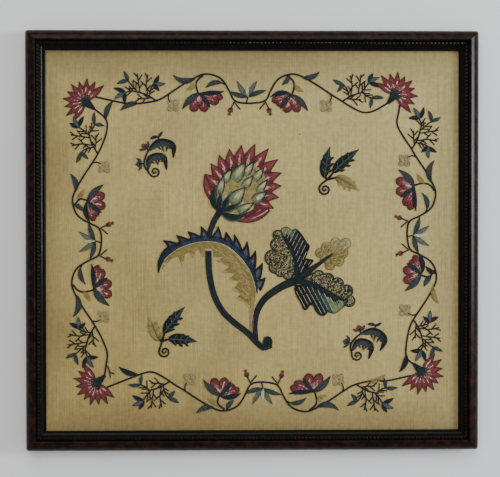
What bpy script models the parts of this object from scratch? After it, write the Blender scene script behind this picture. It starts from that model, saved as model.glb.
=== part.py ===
"""Framed crewel embroidery panel, lying on its back.

A linen ground is stretched over a thin board inside a mitred, lacquered frame with a dark
sight moulding. The wool embroidery stands about a millimetre proud of the linen: a winding
border vine with a carnation in each corner and two drooping tulips on each side, four small
sprigs in the field, and one large branch in the middle with a flower head, a toothed leaf
and lobed leaves. +X is the panel's width, +Y is the top of the picture, +Z comes out of its
face, and the back of the frame lies on z = 0.
"""
import math
from collections import namedtuple

import bpy
import numpy as np
from mathutils.geometry import tessellate_polygon

MM = 0.001

# Frame and ground, in millimetres
FRAME_WIDTH = 480.0
FRAME_HEIGHT = 445.0
FRAME_DEPTH = 20.0
RAIL_FACE = 21.5
RAIL_BAND = 12.0
FIT_GAP = 0.3
REBATE_FROM_EDGE = 14.6
LIP_BOTTOM = 11.0
LINEN_THICK = 1.2
BOARD_THICK = 3.0

# Wool, in millimetres
WOOL_THICK = 0.9
CLEARANCE = 0.45
GRID_STEP = 0.5
BLEND = 0.5
OUTLINE_TOLERANCES = (0.28, 0.22, 0.16, 0.1, 0.0)
AREA_SLACK = 0.001
SMALLEST_HOLE = 2.5
FIELD_MARGIN = 3.0
FAR = 9.0
VINE_WIDTH = 1.7
TWIG_WIDTH = 1.3

LINEN_TOP = LIP_BOTTOM - FIT_GAP
WOOL_BOTTOM = LINEN_TOP + FIT_GAP
VIEW_X = FRAME_WIDTH / 2 - RAIL_FACE
VIEW_Y = FRAME_HEIGHT / 2 - RAIL_FACE

# The vertical sides run this much further out than the horizontal ones
SIDE_SHIFT = 18.0

# One row for each half side, from its middle towards a corner. slide and lift place its fork,
# dip is the sag of the vine before the corner, kind and bush_kind choose the leaves and the
# tulip, hang and drop place the tulip from the fork, bush is how far along the coral twigs
# start, dip_leaf how far along the leaf on the dip does, forked says whether a forked twig
# stands on the dip, and meets where the vine ends
HalfSide = namedtuple(
    "HalfSide", "side half slide lift dip kind bush_kind hang drop bush dip_leaf forked meets")
HALF_SIDES = (
    HalfSide("top", -1, 19.0, 148.0, -3.0, "long", "triples", 38.0, 8.5, 83.0, 101.0, False, "petals"),
    HalfSide("top", 1, 13.0, 148.0, -12.0, "short", "pairs", 28.0, 7.0, 82.0, None, False, "calyx"),
    HalfSide("bottom", -1, 2.0, 152.0, -13.0, "short", "pairs", 33.0, 12.5, 86.0, 120.0, False, "petals"),
    HalfSide("bottom", 1, 26.0, 153.0, -4.5, "long", "pairs", 39.0, 8.0, 84.0, 95.0, False, "petals"),
    HalfSide("left", -1, 15.0, 145.0, -9.0, "long", "triples", 36.0, 6.0, 75.0, None, True, "calyx"),
    HalfSide("left", 1, 13.0, 144.0, -8.0, "short", "pairs", 29.0, 13.0, 79.0, 115.0, False, "calyx"),
    HalfSide("right", -1, 9.0, 149.0, -4.0, "short", "triples", 27.0, 12.0, 75.0, 111.0, False, "calyx"),
    HalfSide("right", 1, 20.0, 148.0, -13.0, "long", "triples", 38.0, 6.0, 77.0, None, False, "petals"),
)

# Place of the five-leaf group along each side
SIDE_MIDDLES = {"top": -5.0, "bottom": 11.0, "left": 0.0, "right": 6.0}
# Its leaves: angle, length, half width
MIDDLE_LEAVES = ((163, 21, 2.7), (124, 21, 2.6), (91, 13, 2.0), (60, 20, 2.6), (20, 21, 2.7))

# Corner flowers: hub of the petals, and the way that the fan faces, in degrees
CORNERS = {
    ("top", -1): (-177.0, 147.5, 140.0),
    ("top", 1): (151.5, 155.5, 50.0),
    ("bottom", -1): (-166.0, -151.0, -138.0),
    ("bottom", 1): (180.0, -140.0, -45.0),
}
CORNER_PETALS = 10
CORNER_FAN = 200.0
CORNER_PETAL = 25.0

# The vine of a half side after its fork: run along the side and rise above the fork
VINE_RUN = (0.0, 5.0, 12.0, 20.0, 31.0, 41.0, 55.0, 70.0, 80.0)
VINE_RISE = (0.0, 9.0, 21.0, 26.5, 28.5, 25.0, 17.0, 7.0, 1.0)
# The dip after it: run, and share of the row's dip
DIP_RUN = (91.0, 104.0, 116.0)
DIP_SHARE = (0.5, 1.0, 0.85)

# What grows on every half side, in places from its fork: stems, leaves as root, tip, half
# width and bend, and the bud
FORK_STEMS = (
    ((0.0, 0.0), (3.0, -6.0), (4.5, -10.0)),
    ((0.0, -2.0), (-6.0, -9.0)),
    ((69.0, 8.0), (70.5, 3.0), (68.0, -2.0)),
)
FORK_BUD = (4.5, -10.0)
BUD_RADIUS = 2.7
ARCH_LEAVES = {
    "long": ((12.5, 19.0), (31.0, 13.5), 2.8, 0.16),
    "short": ((26.0, 27.5), (18.0, 17.0), 2.8, 0.12),
}
ARCH_LEAF_STALK = ((8.5, 16.5), (13.5, 19.0))
PEAK_LEAVES = {
    "long": ((41.0, 24.5), (65.5, 27.5), 3.0, -0.16),
    "short": ((39.0, 25.0), (58.0, 31.0), 2.8, -0.08),
}
# The forked twig, in places from the fork's run and the dip's rise
DIP_TWIGS = (
    ((117.0, 0.0), (124.0, -2.5), (130.0, -3.0)),
    ((124.0, -2.5), (126.0, -7.5)),
)

# Coral twigs: the bush's own stem, and for each twig its start, bend and end, from the root
BUSH_STEM = ((0.0, 0.0), (11.0, 6.5), (24.0, 10.0))
BARE_TWIGS = (
    ((9.0, 6.5), (10.5, 17.0), (8.5, 27.5), "none"),
    ((17.0, 9.0), (18.5, 18.0), (20.0, 28.5), "none"),
    ((5.0, 3.0), (12.0, 2.0), (20.0, 2.0), "none"),
)
LEAFY_TWIGS = {
    "triples": (
        ((7.0, 5.0), (5.5, 13.0), (2.5, 18.0), "three_left"),
        ((20.0, 10.0), (25.5, 15.5), (29.5, 21.0), "two_high"),
        ((23.0, 10.0), (28.0, 10.0), (32.5, 8.0), "three_low"),
    ),
    "pairs": (
        ((7.0, 5.0), (5.0, 13.0), (1.0, 18.0), "two_left"),
        ((20.0, 10.0), (24.5, 14.5), (28.0, 20.0), "three_high"),
        ((22.0, 9.0), (26.0, 5.5), (31.0, 3.5), "two_low"),
    ),
}
SPUR_SHARE = 0.5
SPUR_TURN = -42.0
SPUR_LENGTH = 6.0
# Leaves at a twig's end: angle and length, with the middle one of three first
TWIG_LEAVES = {
    "none": (),
    "three_left": ((180.0, 12.5), (122.0, 10.5), (232.0, 10.0)),
    "three_low": ((-30.0, 13.5), (22.0, 13.5), (-88.0, 11.5)),
    "three_high": ((25.0, 13.0), (64.0, 11.0), (-25.0, 13.0)),
    "two_high": ((65.0, 11.0), (-16.0, 12.5)),
    "two_left": ((155.0, 12.0), (230.0, 10.5)),
    "two_low": ((0.0, 13.5), (-98.0, 11.0)),
}
TWIG_LEAF_HALF = 2.4

# A tulip from its top: three sepals as root, tip, half width, bend and belly, and round lobes
# as run, rise and radius
TULIP_SEPALS = {
    "long": ((1.0, -0.5), (-27.0, 1.5), 2.6, 0.03, 0.5),
    "short": ((1.0, -0.5), (-22.5, -3.0), 2.7, -0.15, 0.5),
}
HOOKED_SEPAL = ((-2.0, -0.5), (17.5, -17.5), 3.5, 0.09, 0.42)
CROSSING_SEPAL = ((0.0, 0.0), (-12.0, -15.5), 2.6, -0.04, 0.5)
TULIP_LOBES = {
    "long": ((-21.5, -4.5, 4.2), (-16.5, -8.5, 5.2), (-9.0, -7.5, 5.2), (-5.5, -15.0, 5.3),
             (5.0, -15.0, 5.3), (0.5, -8.5, 6.0)),
    "short": ((-17.0, -6.0, 4.2), (-11.5, -8.5, 5.2), (-6.0, -6.0, 4.6), (-4.5, -14.5, 5.2),
              (5.5, -14.0, 5.2), (2.5, -7.5, 5.6)),
}

# Flower head of the middle branch
HEAD_CENTRE = (-12.0, 57.0)
HEAD_PETALS = 12
HEAD_FIRST = 160.0
HEAD_STEP = -17.6
HEAD_REACH = 41.0
HEAD_LONG = 9.0
HEAD_LEAN = 48.0
OVAL_CENTRE = (-10.5, 55.5)
OVAL_LONG = 32.0
OVAL_WIDE = 24.5
CALYX = (-35.0, 31.0)
# The petal that lies along the oval's foot
LAST_PETAL_ROOT = (13.0, 34.5)
LAST_PETAL_TIP = (-17.0, 21.0)

WOOL_COLOURS = {
    "wool_vine": (0.016, 0.021, 0.028),
    "wool_navy": (0.018, 0.030, 0.060),
    "wool_teal": (0.030, 0.062, 0.070),
    "wool_red": (0.235, 0.050, 0.062),
    "wool_ochre": (0.300, 0.215, 0.075),
    "wool_cream": (0.520, 0.480, 0.300),
    "wool_speckled": (0.300, 0.300, 0.200),
}
WOOL_ROUGHNESS = 0.9
# Colour and roughness
PLAIN_MATERIALS = {
    "linen": ((0.400, 0.330, 0.185), 0.92),
    "board": ((0.260, 0.150, 0.070), 0.75),
    "lacquer": ((0.020, 0.011, 0.008), 0.18),
    "ebonised": ((0.010, 0.009, 0.009), 0.35),
}


def make_material(name, colour, roughness):
    material = bpy.data.materials.new(name)
    material.use_nodes = True
    shader = material.node_tree.nodes["Principled BSDF"]
    shader.inputs["Base Color"].default_value = (*colour, 1.0)
    shader.inputs["Roughness"].default_value = roughness
    return material


def make_object(name, vertices, faces, material):
    """One closed mesh, its vertices given in millimetres."""
    mesh = bpy.data.meshes.new(name)
    mesh.from_pydata((np.asarray(vertices, dtype=float) * MM).tolist(), [], faces)
    mesh.update()
    mesh.materials.append(material)
    made = bpy.data.objects.new(name, mesh)
    bpy.context.scene.collection.objects.link(made)
    return made


def direction(degrees):
    return np.array([math.cos(math.radians(degrees)), math.sin(math.radians(degrees))])


def smooth_line(points, spacing=2.5):
    """A Catmull-Rom curve through the points, read about every spacing millimetres."""
    points = np.asarray(points, dtype=float)
    before = 2 * points[0] - points[1]
    after = 2 * points[-1] - points[-2]
    knots = np.vstack([before, points, after])
    pieces = []
    for index in range(1, len(knots) - 2):
        a, b, c, d = knots[index - 1:index + 3]
        count = max(2, int(np.linalg.norm(c - b) / spacing) + 1)
        t = np.linspace(0.0, 1.0, count, endpoint=False)[:, None]
        curve = 2 * b + (c - a) * t + (2 * a - 5 * b + 4 * c - d) * t ** 2
        pieces.append(0.5 * (curve + (3 * b - a - 3 * c + d) * t ** 3))
    pieces.append(points[-1:])
    return np.vstack(pieces)


def across(line):
    """Unit normals of a line, to its left."""
    along = np.gradient(line, axis=0)
    along /= np.linalg.norm(along, axis=1)[:, None]
    return np.stack([-along[:, 1], along[:, 0]], axis=1)


class Drawing:
    """The outlines and stems of one embroidered piece, in panel millimetres."""

    def __init__(self, place=None):
        self.place = place or (lambda points: points)
        self.outlines = []
        self.stems = []

    def stem(self, points, width, end_width=None, spacing=2.5):
        """A line of stem stitch through the points, its width running to end_width."""
        line = smooth_line(points, spacing)
        end_width = width if end_width is None else end_width
        radii = np.linspace(width, end_width, len(line)) / 2
        self.stems.append((self.place(line), radii))

    def blade(self, root, tip, half_width, bend=0.0, belly=0.45, root_width=0.0, count=11):
        """A leaf or petal: its half width is a sine along a bowed spine, widest at belly."""
        root, tip = np.asarray(root, dtype=float), np.asarray(tip, dtype=float)
        t = np.linspace(0.0, 1.0, count)[:, None]
        chord = tip - root
        side = np.array([-chord[1], chord[0]])
        spine = root + chord * t + side * bend * 4 * t * (1 - t)
        skew = math.log(0.5) / math.log(belly)
        swell = np.sin(math.pi * t ** skew)
        half = half_width * np.maximum(swell * (1 - root_width) + root_width * (1 - t), 0.0)
        normal = across(spine)
        outline = np.vstack([spine + normal * half, (spine - normal * half)[::-1]])
        self.outlines.append(self.place(outline))

    def disc(self, centre, radius, count=14):
        turn = np.linspace(0.0, 2 * math.pi, count, endpoint=False)
        ring = np.stack([np.cos(turn), np.sin(turn)], axis=1) * radius
        self.outlines.append(self.place(np.asarray(centre, dtype=float) + ring))

    def shape(self, outline):
        self.outlines.append(self.place(np.asarray(outline, dtype=float)))

    def join(self, other):
        self.outlines += other.outlines
        self.stems += other.stems


def side_place(side, half):
    """Half-side places (along the side, out from the middle) as places on the panel."""
    def place(points):
        along, out = half * points[:, 0], points[:, 1]
        if side == "top":
            return np.stack([along, out], axis=1)
        if side == "bottom":
            return np.stack([along, -out], axis=1)
        out = out + SIDE_SHIFT
        return np.stack([out if side == "right" else -out, along], axis=1)
    return place


def corner_of(side, half):
    """The corner flower that a half side runs to."""
    if side in ("top", "bottom"):
        return CORNERS[(side, half)]
    return CORNERS[("top" if half > 0 else "bottom", -1 if side == "left" else 1)]


def vine_course(row):
    """Run along the side and rise above the fork of a half side's vine."""
    rise = VINE_RISE + tuple(row.dip * share for share in DIP_SHARE)
    return np.array(VINE_RUN + DIP_RUN), np.array(rise)


def half_vine(row):
    """Points of the vine on the panel, from its fork to the corner flower."""
    run, rise = vine_course(row)
    points = side_place(row.side, row.half)(np.stack([row.slide + run, row.lift + rise], axis=1))
    hub_x, hub_y, facing = corner_of(row.side, row.half)
    inward = direction(facing + 180.0)
    turn = 0.0 if row.meets == "calyx" else 62.0
    turn *= -1 if (row.side in ("top", "bottom")) == (inward[0] * inward[1] > 0) else 1
    end = np.array([hub_x, hub_y]) + direction(facing + 180.0 + turn) * 12.0
    return np.vstack([points, end])


def vine_bush(drawing, root, kind):
    """Coral-like twigs above the dip, with leaves in threes and pairs at their ends."""
    root = np.asarray(root, dtype=float)
    drawing.stem(root + np.array(BUSH_STEM), TWIG_WIDTH * 1.2)
    for start, bend, end, leaves in BARE_TWIGS + LEAFY_TWIGS[kind]:
        start, bend, end = (root + np.array(place) for place in (start, bend, end))
        drawing.stem([start, bend, end], TWIG_WIDTH)
        heading = math.degrees(math.atan2(*(end - bend)[::-1]))
        carrier = (bend, end) if leaves == "none" else (start, bend)
        foot = carrier[0] + (carrier[1] - carrier[0]) * SPUR_SHARE
        drawing.stem([foot, foot + direction(heading + SPUR_TURN) * SPUR_LENGTH], TWIG_WIDTH)
        for angle, length in TWIG_LEAVES[leaves]:
            out = direction(angle)
            drawing.blade(end - out, end + out * length, TWIG_LEAF_HALF, 0.06)


def half_side_growth(row):
    """All that grows on the vine of one half side, but for its tulip."""
    place = side_place(row.side, row.half)
    fork = np.array([row.slide, row.lift])
    drawing = Drawing(lambda points: place(points + fork))
    hang, drop = row.hang, row.drop
    for points in FORK_STEMS:
        drawing.stem(points, TWIG_WIDTH)
    drawing.disc(FORK_BUD, BUD_RADIUS, 10)
    drawing.blade(*ARCH_LEAVES[row.kind])
    if row.kind == "long":
        drawing.stem(ARCH_LEAF_STALK, TWIG_WIDTH)
    drawing.stem([(hang - 5, 27), (hang + 1.5, 22), (hang + 3, drop + 8), (hang, drop + 2)], VINE_WIDTH)
    drawing.blade((hang + 2.5, drop + 11), (hang + 13, drop + 3), 2.8, -0.1)
    drawing.blade(*PEAK_LEAVES[row.kind])
    vine_bush(drawing, (row.bush, float(np.interp(row.bush, *vine_course(row)))), row.bush_kind)
    if row.dip_leaf:
        rise = float(np.interp(row.dip_leaf, *vine_course(row)))
        drawing.blade((row.dip_leaf, rise), (row.dip_leaf + 20, rise - 8), 2.9, 0.12)
    if row.forked:
        for points in DIP_TWIGS:
            drawing.stem(np.array(points) + (0, row.dip), TWIG_WIDTH)
    return drawing


def side_middle_leaves(side, vine_out):
    """The group of five leaves that stands over the vine on the middle of a side."""
    drawing = Drawing(side_place(side, 1))
    foot = np.array([SIDE_MIDDLES[side], vine_out + 6.5])
    drawing.stem([foot - (2.0, 6.5), foot], TWIG_WIDTH)
    for angle, length, half_width in MIDDLE_LEAVES:
        drawing.blade(foot, foot + direction(angle) * length, half_width, 0.05)
    return drawing


def side_vine(side):
    """The border vine of one side with everything that grows on it."""
    rows = [row for row in HALF_SIDES if row.side == side]
    middle_out = (rows[0].lift + rows[1].lift) / 2 - 2.5
    middle = side_place(side, 1)(np.array([[SIDE_MIDDLES[side], middle_out]]))
    drawing = Drawing()
    drawing.stem(np.vstack([half_vine(rows[0])[::-1], middle, half_vine(rows[1])]), VINE_WIDTH)
    for row in rows:
        drawing.join(half_side_growth(row))
    drawing.join(side_middle_leaves(side, middle_out))
    return drawing


def tulip(row):
    """A drooping flower: round lobes under two bowed sepals, with one sepal across them."""
    place = side_place(row.side, row.half)
    top = np.array([row.slide + row.hang, row.lift + row.drop])
    drawing = Drawing(lambda points: place(points + top))
    for sepal in (TULIP_SEPALS[row.kind], HOOKED_SEPAL, CROSSING_SEPAL):
        drawing.blade(*sepal)
    for run, rise, radius in TULIP_LOBES[row.kind]:
        drawing.disc((run, rise), radius)
    return drawing


def corner_flower(hub_x, hub_y, facing):
    """A carnation: pointed petals in a wide fan about its hub."""
    hub = np.array([hub_x, hub_y])
    drawing = Drawing()
    for number in range(CORNER_PETALS):
        share = number / (CORNER_PETALS - 1) - 0.5
        angle = facing - share * CORNER_FAN
        length = CORNER_PETAL - 3.0 * math.cos(math.pi * share) + (1.2 if number % 2 else -0.6)
        drawing.blade(hub + direction(angle) * 2.5, hub + direction(angle) * length, 3.9, 0.0, 0.42, 0.35)
    return drawing


def corner_calyx(hub_x, hub_y, facing):
    hub = np.array([hub_x, hub_y])
    drawing = Drawing()
    drawing.blade(hub + direction(facing + 180) * 13, hub + direction(facing) * 4.0, 4.4, 0.0, 0.62, 0.3)
    for turn in (-38.0, 38.0):
        foot = hub + direction(facing + 180) * 6
        drawing.blade(foot, foot + direction(facing + turn) * 11.0, 2.4)
    return drawing


def spiral_line(centre, radius, turns, start_angle):
    """A tendril that winds into its centre; its distance from there shrinks evenly."""
    t = np.linspace(0.0, 1.0, 26)
    angle = math.radians(start_angle) + t * turns * 2 * math.pi
    reach = radius * (1.0 - 0.86 * t)
    return np.asarray(centre, dtype=float) + np.stack([np.cos(angle), np.sin(angle)], axis=1) * reach[:, None]


def turned(centre, degrees):
    """A place function that turns sprig millimetres and moves them to centre."""
    c, s = direction(degrees)
    matrix = np.array([[c, s], [-s, c]])
    return lambda points: np.asarray(points, dtype=float) @ matrix + np.asarray(centre, dtype=float)


def comma_sprig(centre, degrees):
    """A curled stem with two hooked leaves, two buds and a pair of leaves at its top."""
    drawing = Drawing(turned(centre, degrees))
    curl = spiral_line((0, 0), 6.2, 1.25, 180.0)
    drawing.stem(np.vstack([[(-6.5, 23), (-10.3, 15), (-11.5, 7), (-8.5, 2)], curl[1:]]), 1.7, spacing=1.5)
    for root, bend, shoulder, tip, thick in (
        ((-7, 22), (5, 31), (19, 28), (19.5, 15), 7.0),
        ((-7, 2), (-5, 14), (9, 16), (12.5, 2), 6.2),
    ):
        line = smooth_line([root, bend, shoulder, tip])
        share = np.linspace(0.0, 1.0, len(line))
        radii = 0.5 + thick / 2 * np.sin(math.pi * share ** 0.8) ** 0.8
        drawing.stems.append((drawing.place(line), radii))
        drawing.blade(np.array(bend) + (2, -1), np.array(bend) + (2.5, -11), 2.0, 0.2)
        drawing.blade(np.array(bend) + (8, 0), np.array(bend) + (10, -10), 2.0, 0.2)
    for stalk, bud, radius in (((-7.0, 23.0), (-11.0, 27.0), 3.4), ((-11.3, 9.0), (-17.0, 8.0), 3.6)):
        drawing.stem([stalk, bud], TWIG_WIDTH)
        drawing.disc(bud, radius)
        for side in (-1, 1):
            out = np.array(bud) - stalk
            out /= np.linalg.norm(out)
            wing = np.array([-out[1], out[0]]) * side
            drawing.blade(np.array(bud) - out * 3, np.array(bud) + wing * 6.5 + out * 1.5, 1.7, 0.15 * side)
    drawing.stem([(4.0, 30), (4.0, 37)], TWIG_WIDTH)
    drawing.blade((4.0, 37), (-5.0, 34.5), 1.9, -0.1)
    drawing.blade((4.0, 36), (8.5, 42.5), 1.9, 0.1)
    return drawing


def leafy_sprig(centre, leaves):
    """A curled stem with three veined leaves; leaves gives each root and tip from the curl."""
    drawing = Drawing(turned(centre, 0.0))
    curl = spiral_line((0, 0), 6.4, 1.25, 170.0)
    fork = (3.0, 10.5) if leaves[0][0][0] > -2 else (-2.5, 11.5)
    drawing.stem(np.vstack([[fork, (-4.5, 5.0)], curl[1:]]), 2.0, spacing=1.5)
    for root, tip, half_width in leaves:
        root, tip = np.array(root), np.array(tip)
        drawing.stem([fork, root], 2.6, 1.6)
        chord = tip - root
        side = np.array([-chord[1], chord[0]]) / np.linalg.norm(chord)
        drawing.blade(root - chord * 0.04, tip, half_width, 0.04, 0.36)
        for share, reach in ((0.14, 0.95), (0.36, 1.05), (0.56, 0.85)):
            foot = root + chord * share
            for hand in (-1, 1):
                out = side * hand * half_width * reach * 1.15
                drawing.blade(foot, foot + chord * 0.14 + out, 2.0, 0.1 * hand)
    return drawing


# The leaf sprigs: curl centre, then root, tip and half width of each leaf from there
LEAFY_SPRIGS = (
    ((76.5, 54.5), (((-0.5, 13.5), (5.5, 45.0), 5.2), ((9.5, 18.5), (36.5, 42.5), 5.2),
                    ((12.5, 12.5), (37.0, -1.5), 4.6))),
    ((-93.5, -117.5), (((-5.5, 12.5), (-16.5, 37.5), 5.0), ((0.0, 20.5), (21.5, 47.5), 5.2),
                       ((5.0, 13.5), (34.5, 10.5), 5.2))),
)
COMMA_SPRIGS = (((-103.5, 73.0), 0.0), ((111.0, -122.0), -26.0))


def head_petals():
    """The ring of pointed petals round the flower head, longest where it leans."""
    centre = np.array(HEAD_CENTRE)
    drawing = Drawing()
    for number in range(HEAD_PETALS):
        angle = HEAD_FIRST + HEAD_STEP * number
        reach = HEAD_REACH + HEAD_LONG * math.exp(-((angle - 52.0) / 38.0) ** 2)
        tip = centre + direction(angle) * reach
        root = centre + direction(angle - 4.0) * 19.0
        drawing.blade(root, tip, 8.2, 0.04, 0.34, 0.6)
    rim = [oval_point(angle, 1.04) for angle in range(-105, 131, 12)]
    drawing.stem(rim, 3.2)
    drawing.blade(LAST_PETAL_ROOT, LAST_PETAL_TIP, 5.2, 0.08, 0.55, 0.5)
    return drawing


def oval_point(degrees, scale=1.0):
    """A place on the oval of scales, by its angle from the oval's long axis."""
    axis = direction(HEAD_LEAN)
    side = np.array([-axis[1], axis[0]])
    c, s = direction(degrees) * scale
    return np.array(OVAL_CENTRE) + axis * c * OVAL_LONG + side * s * OVAL_WIDE


def head_scales():
    """The oval of overlapping scales inside the petals."""
    drawing = Drawing()
    drawing.shape([oval_point(angle) for angle in range(0, 360, 9)])
    return drawing


def head_stem():
    """Calyx leaves of the flower head and the stem below them."""
    drawing = Drawing()
    drawing.stem([CALYX, (-41.0, 21.0), (-45.0, 10.5)], 6.4, 5.4)
    for tip_x, tip_y, half_width, bend in (
        (-40.0, 57.5, 3.9, 0.16), (-33.5, 52.0, 3.2, 0.02), (-24.0, 50.0, 3.6, -0.06),
        (-13.0, 41.0, 3.6, -0.08), (-6.0, 29.0, 4.2, -0.20),
    ):
        drawing.blade(CALYX, (tip_x, tip_y), half_width, bend)
    drawing.disc(CALYX, 4.4)
    return drawing


# The toothed leaf: the arch that carries it, and each tooth's foot along the arch and its tip
ARCH = ((-99.5, -33.5), (-94.0, -20.0), (-83.0, -10.5), (-66.0, -3.0), (-47.0, -0.5), (-30.0, -4.0),
        (-15.0, -15.5), (-4.0, -30.0), (1.5, -44.0), (4.0, -56.5))
TEETH = (
    # tip x, tip y, foot x, foot y
    (-95.0, 0.5, -82.0, -8.5), (-81.0, 6.0, -71.0, -4.0), (-69.0, 10.0, -59.0, -0.5),
    (-55.0, 15.5, -50.0, 1.0), (-36.5, 15.5, -39.0, 0.5), (-28.5, 9.5, -27.0, -4.0),
    (-19.5, 7.0, -17.5, -11.0), (-6.0, -0.5, -10.0, -18.0), (3.0, -10.0, -3.5, -27.0),
    (10.5, -23.5, 2.0, -38.0), (13.5, -39.0, 4.0, -48.0),
)


def toothed_leaf():
    """The toothed outer edge of the big arching leaf."""
    drawing = Drawing()
    line = smooth_line(ARCH)
    share = np.linspace(0.0, 1.0, len(line))
    radii = 0.7 + 2.4 * np.sin(math.pi * share) ** 0.6
    normal = across(line)
    drawing.stems.append((line + normal * radii[:, None], radii))
    for tip_x, tip_y, foot_x, foot_y in TEETH:
        drawing.blade((foot_x, foot_y), (tip_x, tip_y), 5.0, -0.04, 0.3, 0.95)
    return drawing


def arch_lining():
    """The ochre shading under the arch, with jagged inner points, and its pale stem."""
    drawing = Drawing()
    line = smooth_line(ARCH[1:-1])
    normal = across(line)
    share = np.linspace(0.0, 1.0, len(line))
    radii = 1.0 + 3.2 * np.sin(math.pi * share ** 1.1) ** 0.7
    drawing.stems.append((line - normal * (radii[:, None] + 0.6), radii))
    for foot_x, foot_y, tip_x, tip_y in (
        (-79.0, -12.0, -74.0, -27.0), (-68.0, -8.0, -63.5, -20.0), (-57.0, -6.0, -54.0, -19.0),
        (-22.0, -12.0, -38.0, -15.0), (-17.0, -20.0, -34.0, -22.0), (-11.0, -29.0, -30.0, -31.0),
        (-7.0, -38.0, -24.0, -40.0), (-4.0, -50.0, -17.0, -45.0), (-4.0, -66.0, -22.0, -51.0),
    ):
        drawing.blade((foot_x, foot_y), (tip_x, tip_y), 4.0, 0.0, 0.35, 0.8)
    drawing.stem([(-2.0, -38.0), (-0.5, -60.0), (-1.0, -80.0), (-1.5, -97.0)], 5.0, 4.0)
    return drawing


def main_stem():
    """The big stem with its scrolled foot, and the branch that carries the lobed leaves."""
    drawing = Drawing()
    drawing.stem([(-47.0, -10.5), (-46.8, -25.0), (-45.3, -40.0), (-40.5, -59.0), (-31.0, -76.0),
                  (-18.0, -88.0), (-5.0, -98.0), (6.0, -110.0), (13.0, -114.5)], 5.0)
    drawing.stem([(13.0, -114.5), (18.5, -111.0), (16.0, -107.5)], 4.6, 5.4)
    drawing.disc((15.5, -107.0), 4.4)
    drawing.stem([(3.5, -105.0), (2.0, -90.0), (4.5, -75.0), (12.0, -62.0), (25.0, -52.0),
                  (37.0, -45.5), (46.0, -42.5)], 3.4, 7.0)
    drawing.stem([(47.0, -42.0), (48.5, -27.0), (45.0, -12.0), (36.5, 3.0)], 7.0, 1.2)
    drawing.stem([(47.0, -40.0), (61.0, -31.0), (73.0, -22.5), (84.5, -14.0)], 9.0, 0.9)
    drawing.stem([(48.0, -42.0), (66.0, -46.5), (80.0, -54.0), (93.0, -61.0)], 6.5, 1.2)
    return drawing


def lobed(discs, root, tip, half_width, bend=0.0):
    """A scalloped half leaf: round lobes along a broad blade."""
    drawing = Drawing()
    drawing.blade(root, tip, half_width, bend, 0.5, 0.2)
    for x, y, radius in discs:
        drawing.disc((x, y), radius, 18)
    return drawing


def striped(bands):
    """A striped half leaf: long round-ended bands side by side."""
    drawing = Drawing()
    for root_x, root_y, tip_x, tip_y, width in bands:
        drawing.stem([(root_x, root_y), (tip_x, tip_y)], width * 0.8, width)
    return drawing


def middle_leaves():
    """The lobed, striped and oak-like leaves of the middle branch, by name and wool."""
    return (
        ("speckled_leaf_upper", "wool_speckled", lobed(
            ((26.5, 6.0, 5.8), (25.5, -4.0, 7.0), (21.0, -18.0, 8.6), (23.5, -28.0, 6.8),
             (29.5, -32.5, 6.0), (37.0, -36.0, 5.4)), (42.0, -39.0), (31.0, 3.0), 13.0)),
        ("speckled_leaf_lower", "wool_speckled", lobed(
            ((70.0, -37.0, 6.2), (80.0, -40.5, 6.4), (90.0, -45.5, 6.6), (99.5, -53.5, 7.0),
             (102.5, -64.0, 6.4)), (53.0, -41.0), (99.0, -60.0), 9.5, 0.04)),
        ("striped_leaf_upper", "wool_teal", striped(
            ((40.0, -4.0, 36.0, 10.5, 10.5), (43.0, -8.0, 45.5, 8.0, 9.0), (46.0, -14.0, 51.0, 1.5, 8.5),
             (48.0, -22.0, 57.0, -8.5, 8.5), (51.0, -31.0, 62.0, -23.0, 7.0)))),
        ("striped_leaf_lower", "wool_teal", striped(
            ((49.0, -48.0, 55.5, -69.0, 8.5), (56.0, -49.0, 63.0, -66.0, 8.0),
             (62.0, -51.0, 73.0, -75.5, 8.5), (69.0, -54.0, 79.5, -74.0, 8.0),
             (77.0, -57.0, 87.0, -73.0, 8.0), (84.0, -61.0, 94.5, -70.0, 7.5)))),
        ("oak_leaf", "wool_ochre", lobed(
            ((71.0, -13.0, 5.0), (79.0, -7.5, 6.6), (88.0, -1.5, 5.2), (98.5, -3.0, 6.0), (95.0, -12.5, 6.6),
             (91.0, -21.0, 6.4), (82.0, -26.0, 5.4)), (72.0, -22.0), (100.0, -5.0), 9.0)),
    )


def all_motifs():
    """Every embroidered piece as name, wool and drawing. Earlier ones keep their whole outline."""
    motifs = [
        ("flower_stem", "wool_teal", head_stem()),
        ("main_stem", "wool_navy", main_stem()),
        ("flower_scales", "wool_cream", head_scales()),
        ("flower_petals", "wool_red", head_petals()),
        ("toothed_leaf", "wool_navy", toothed_leaf()),
        ("arch_lining", "wool_ochre", arch_lining()),
        *middle_leaves(),
    ]
    for number, (centre, degrees) in enumerate(COMMA_SPRIGS, 1):
        motifs.append((f"comma_sprig_{number}", "wool_vine", comma_sprig(centre, degrees)))
    for number, (centre, leaves) in enumerate(LEAFY_SPRIGS, 1):
        motifs.append((f"leafy_sprig_{number}", "wool_vine", leafy_sprig(centre, leaves)))
    names = {-1: {"top": "left", "bottom": "left", "left": "low", "right": "low"},
             1: {"top": "right", "bottom": "right", "left": "high", "right": "high"}}
    for (side, half), place in CORNERS.items():
        corner = f"{side}_{names[half][side]}"
        motifs.append((f"corner_calyx_{corner}", "wool_teal", corner_calyx(*place)))
        motifs.append((f"corner_flower_{corner}", "wool_red", corner_flower(*place)))
    for side in SIDE_MIDDLES:
        motifs.append((f"vine_{side}", "wool_vine", side_vine(side)))
    for row in HALF_SIDES:
        motifs.append((f"tulip_{row.side}_{names[row.half][row.side]}", "wool_red", tulip(row)))
    return motifs


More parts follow.
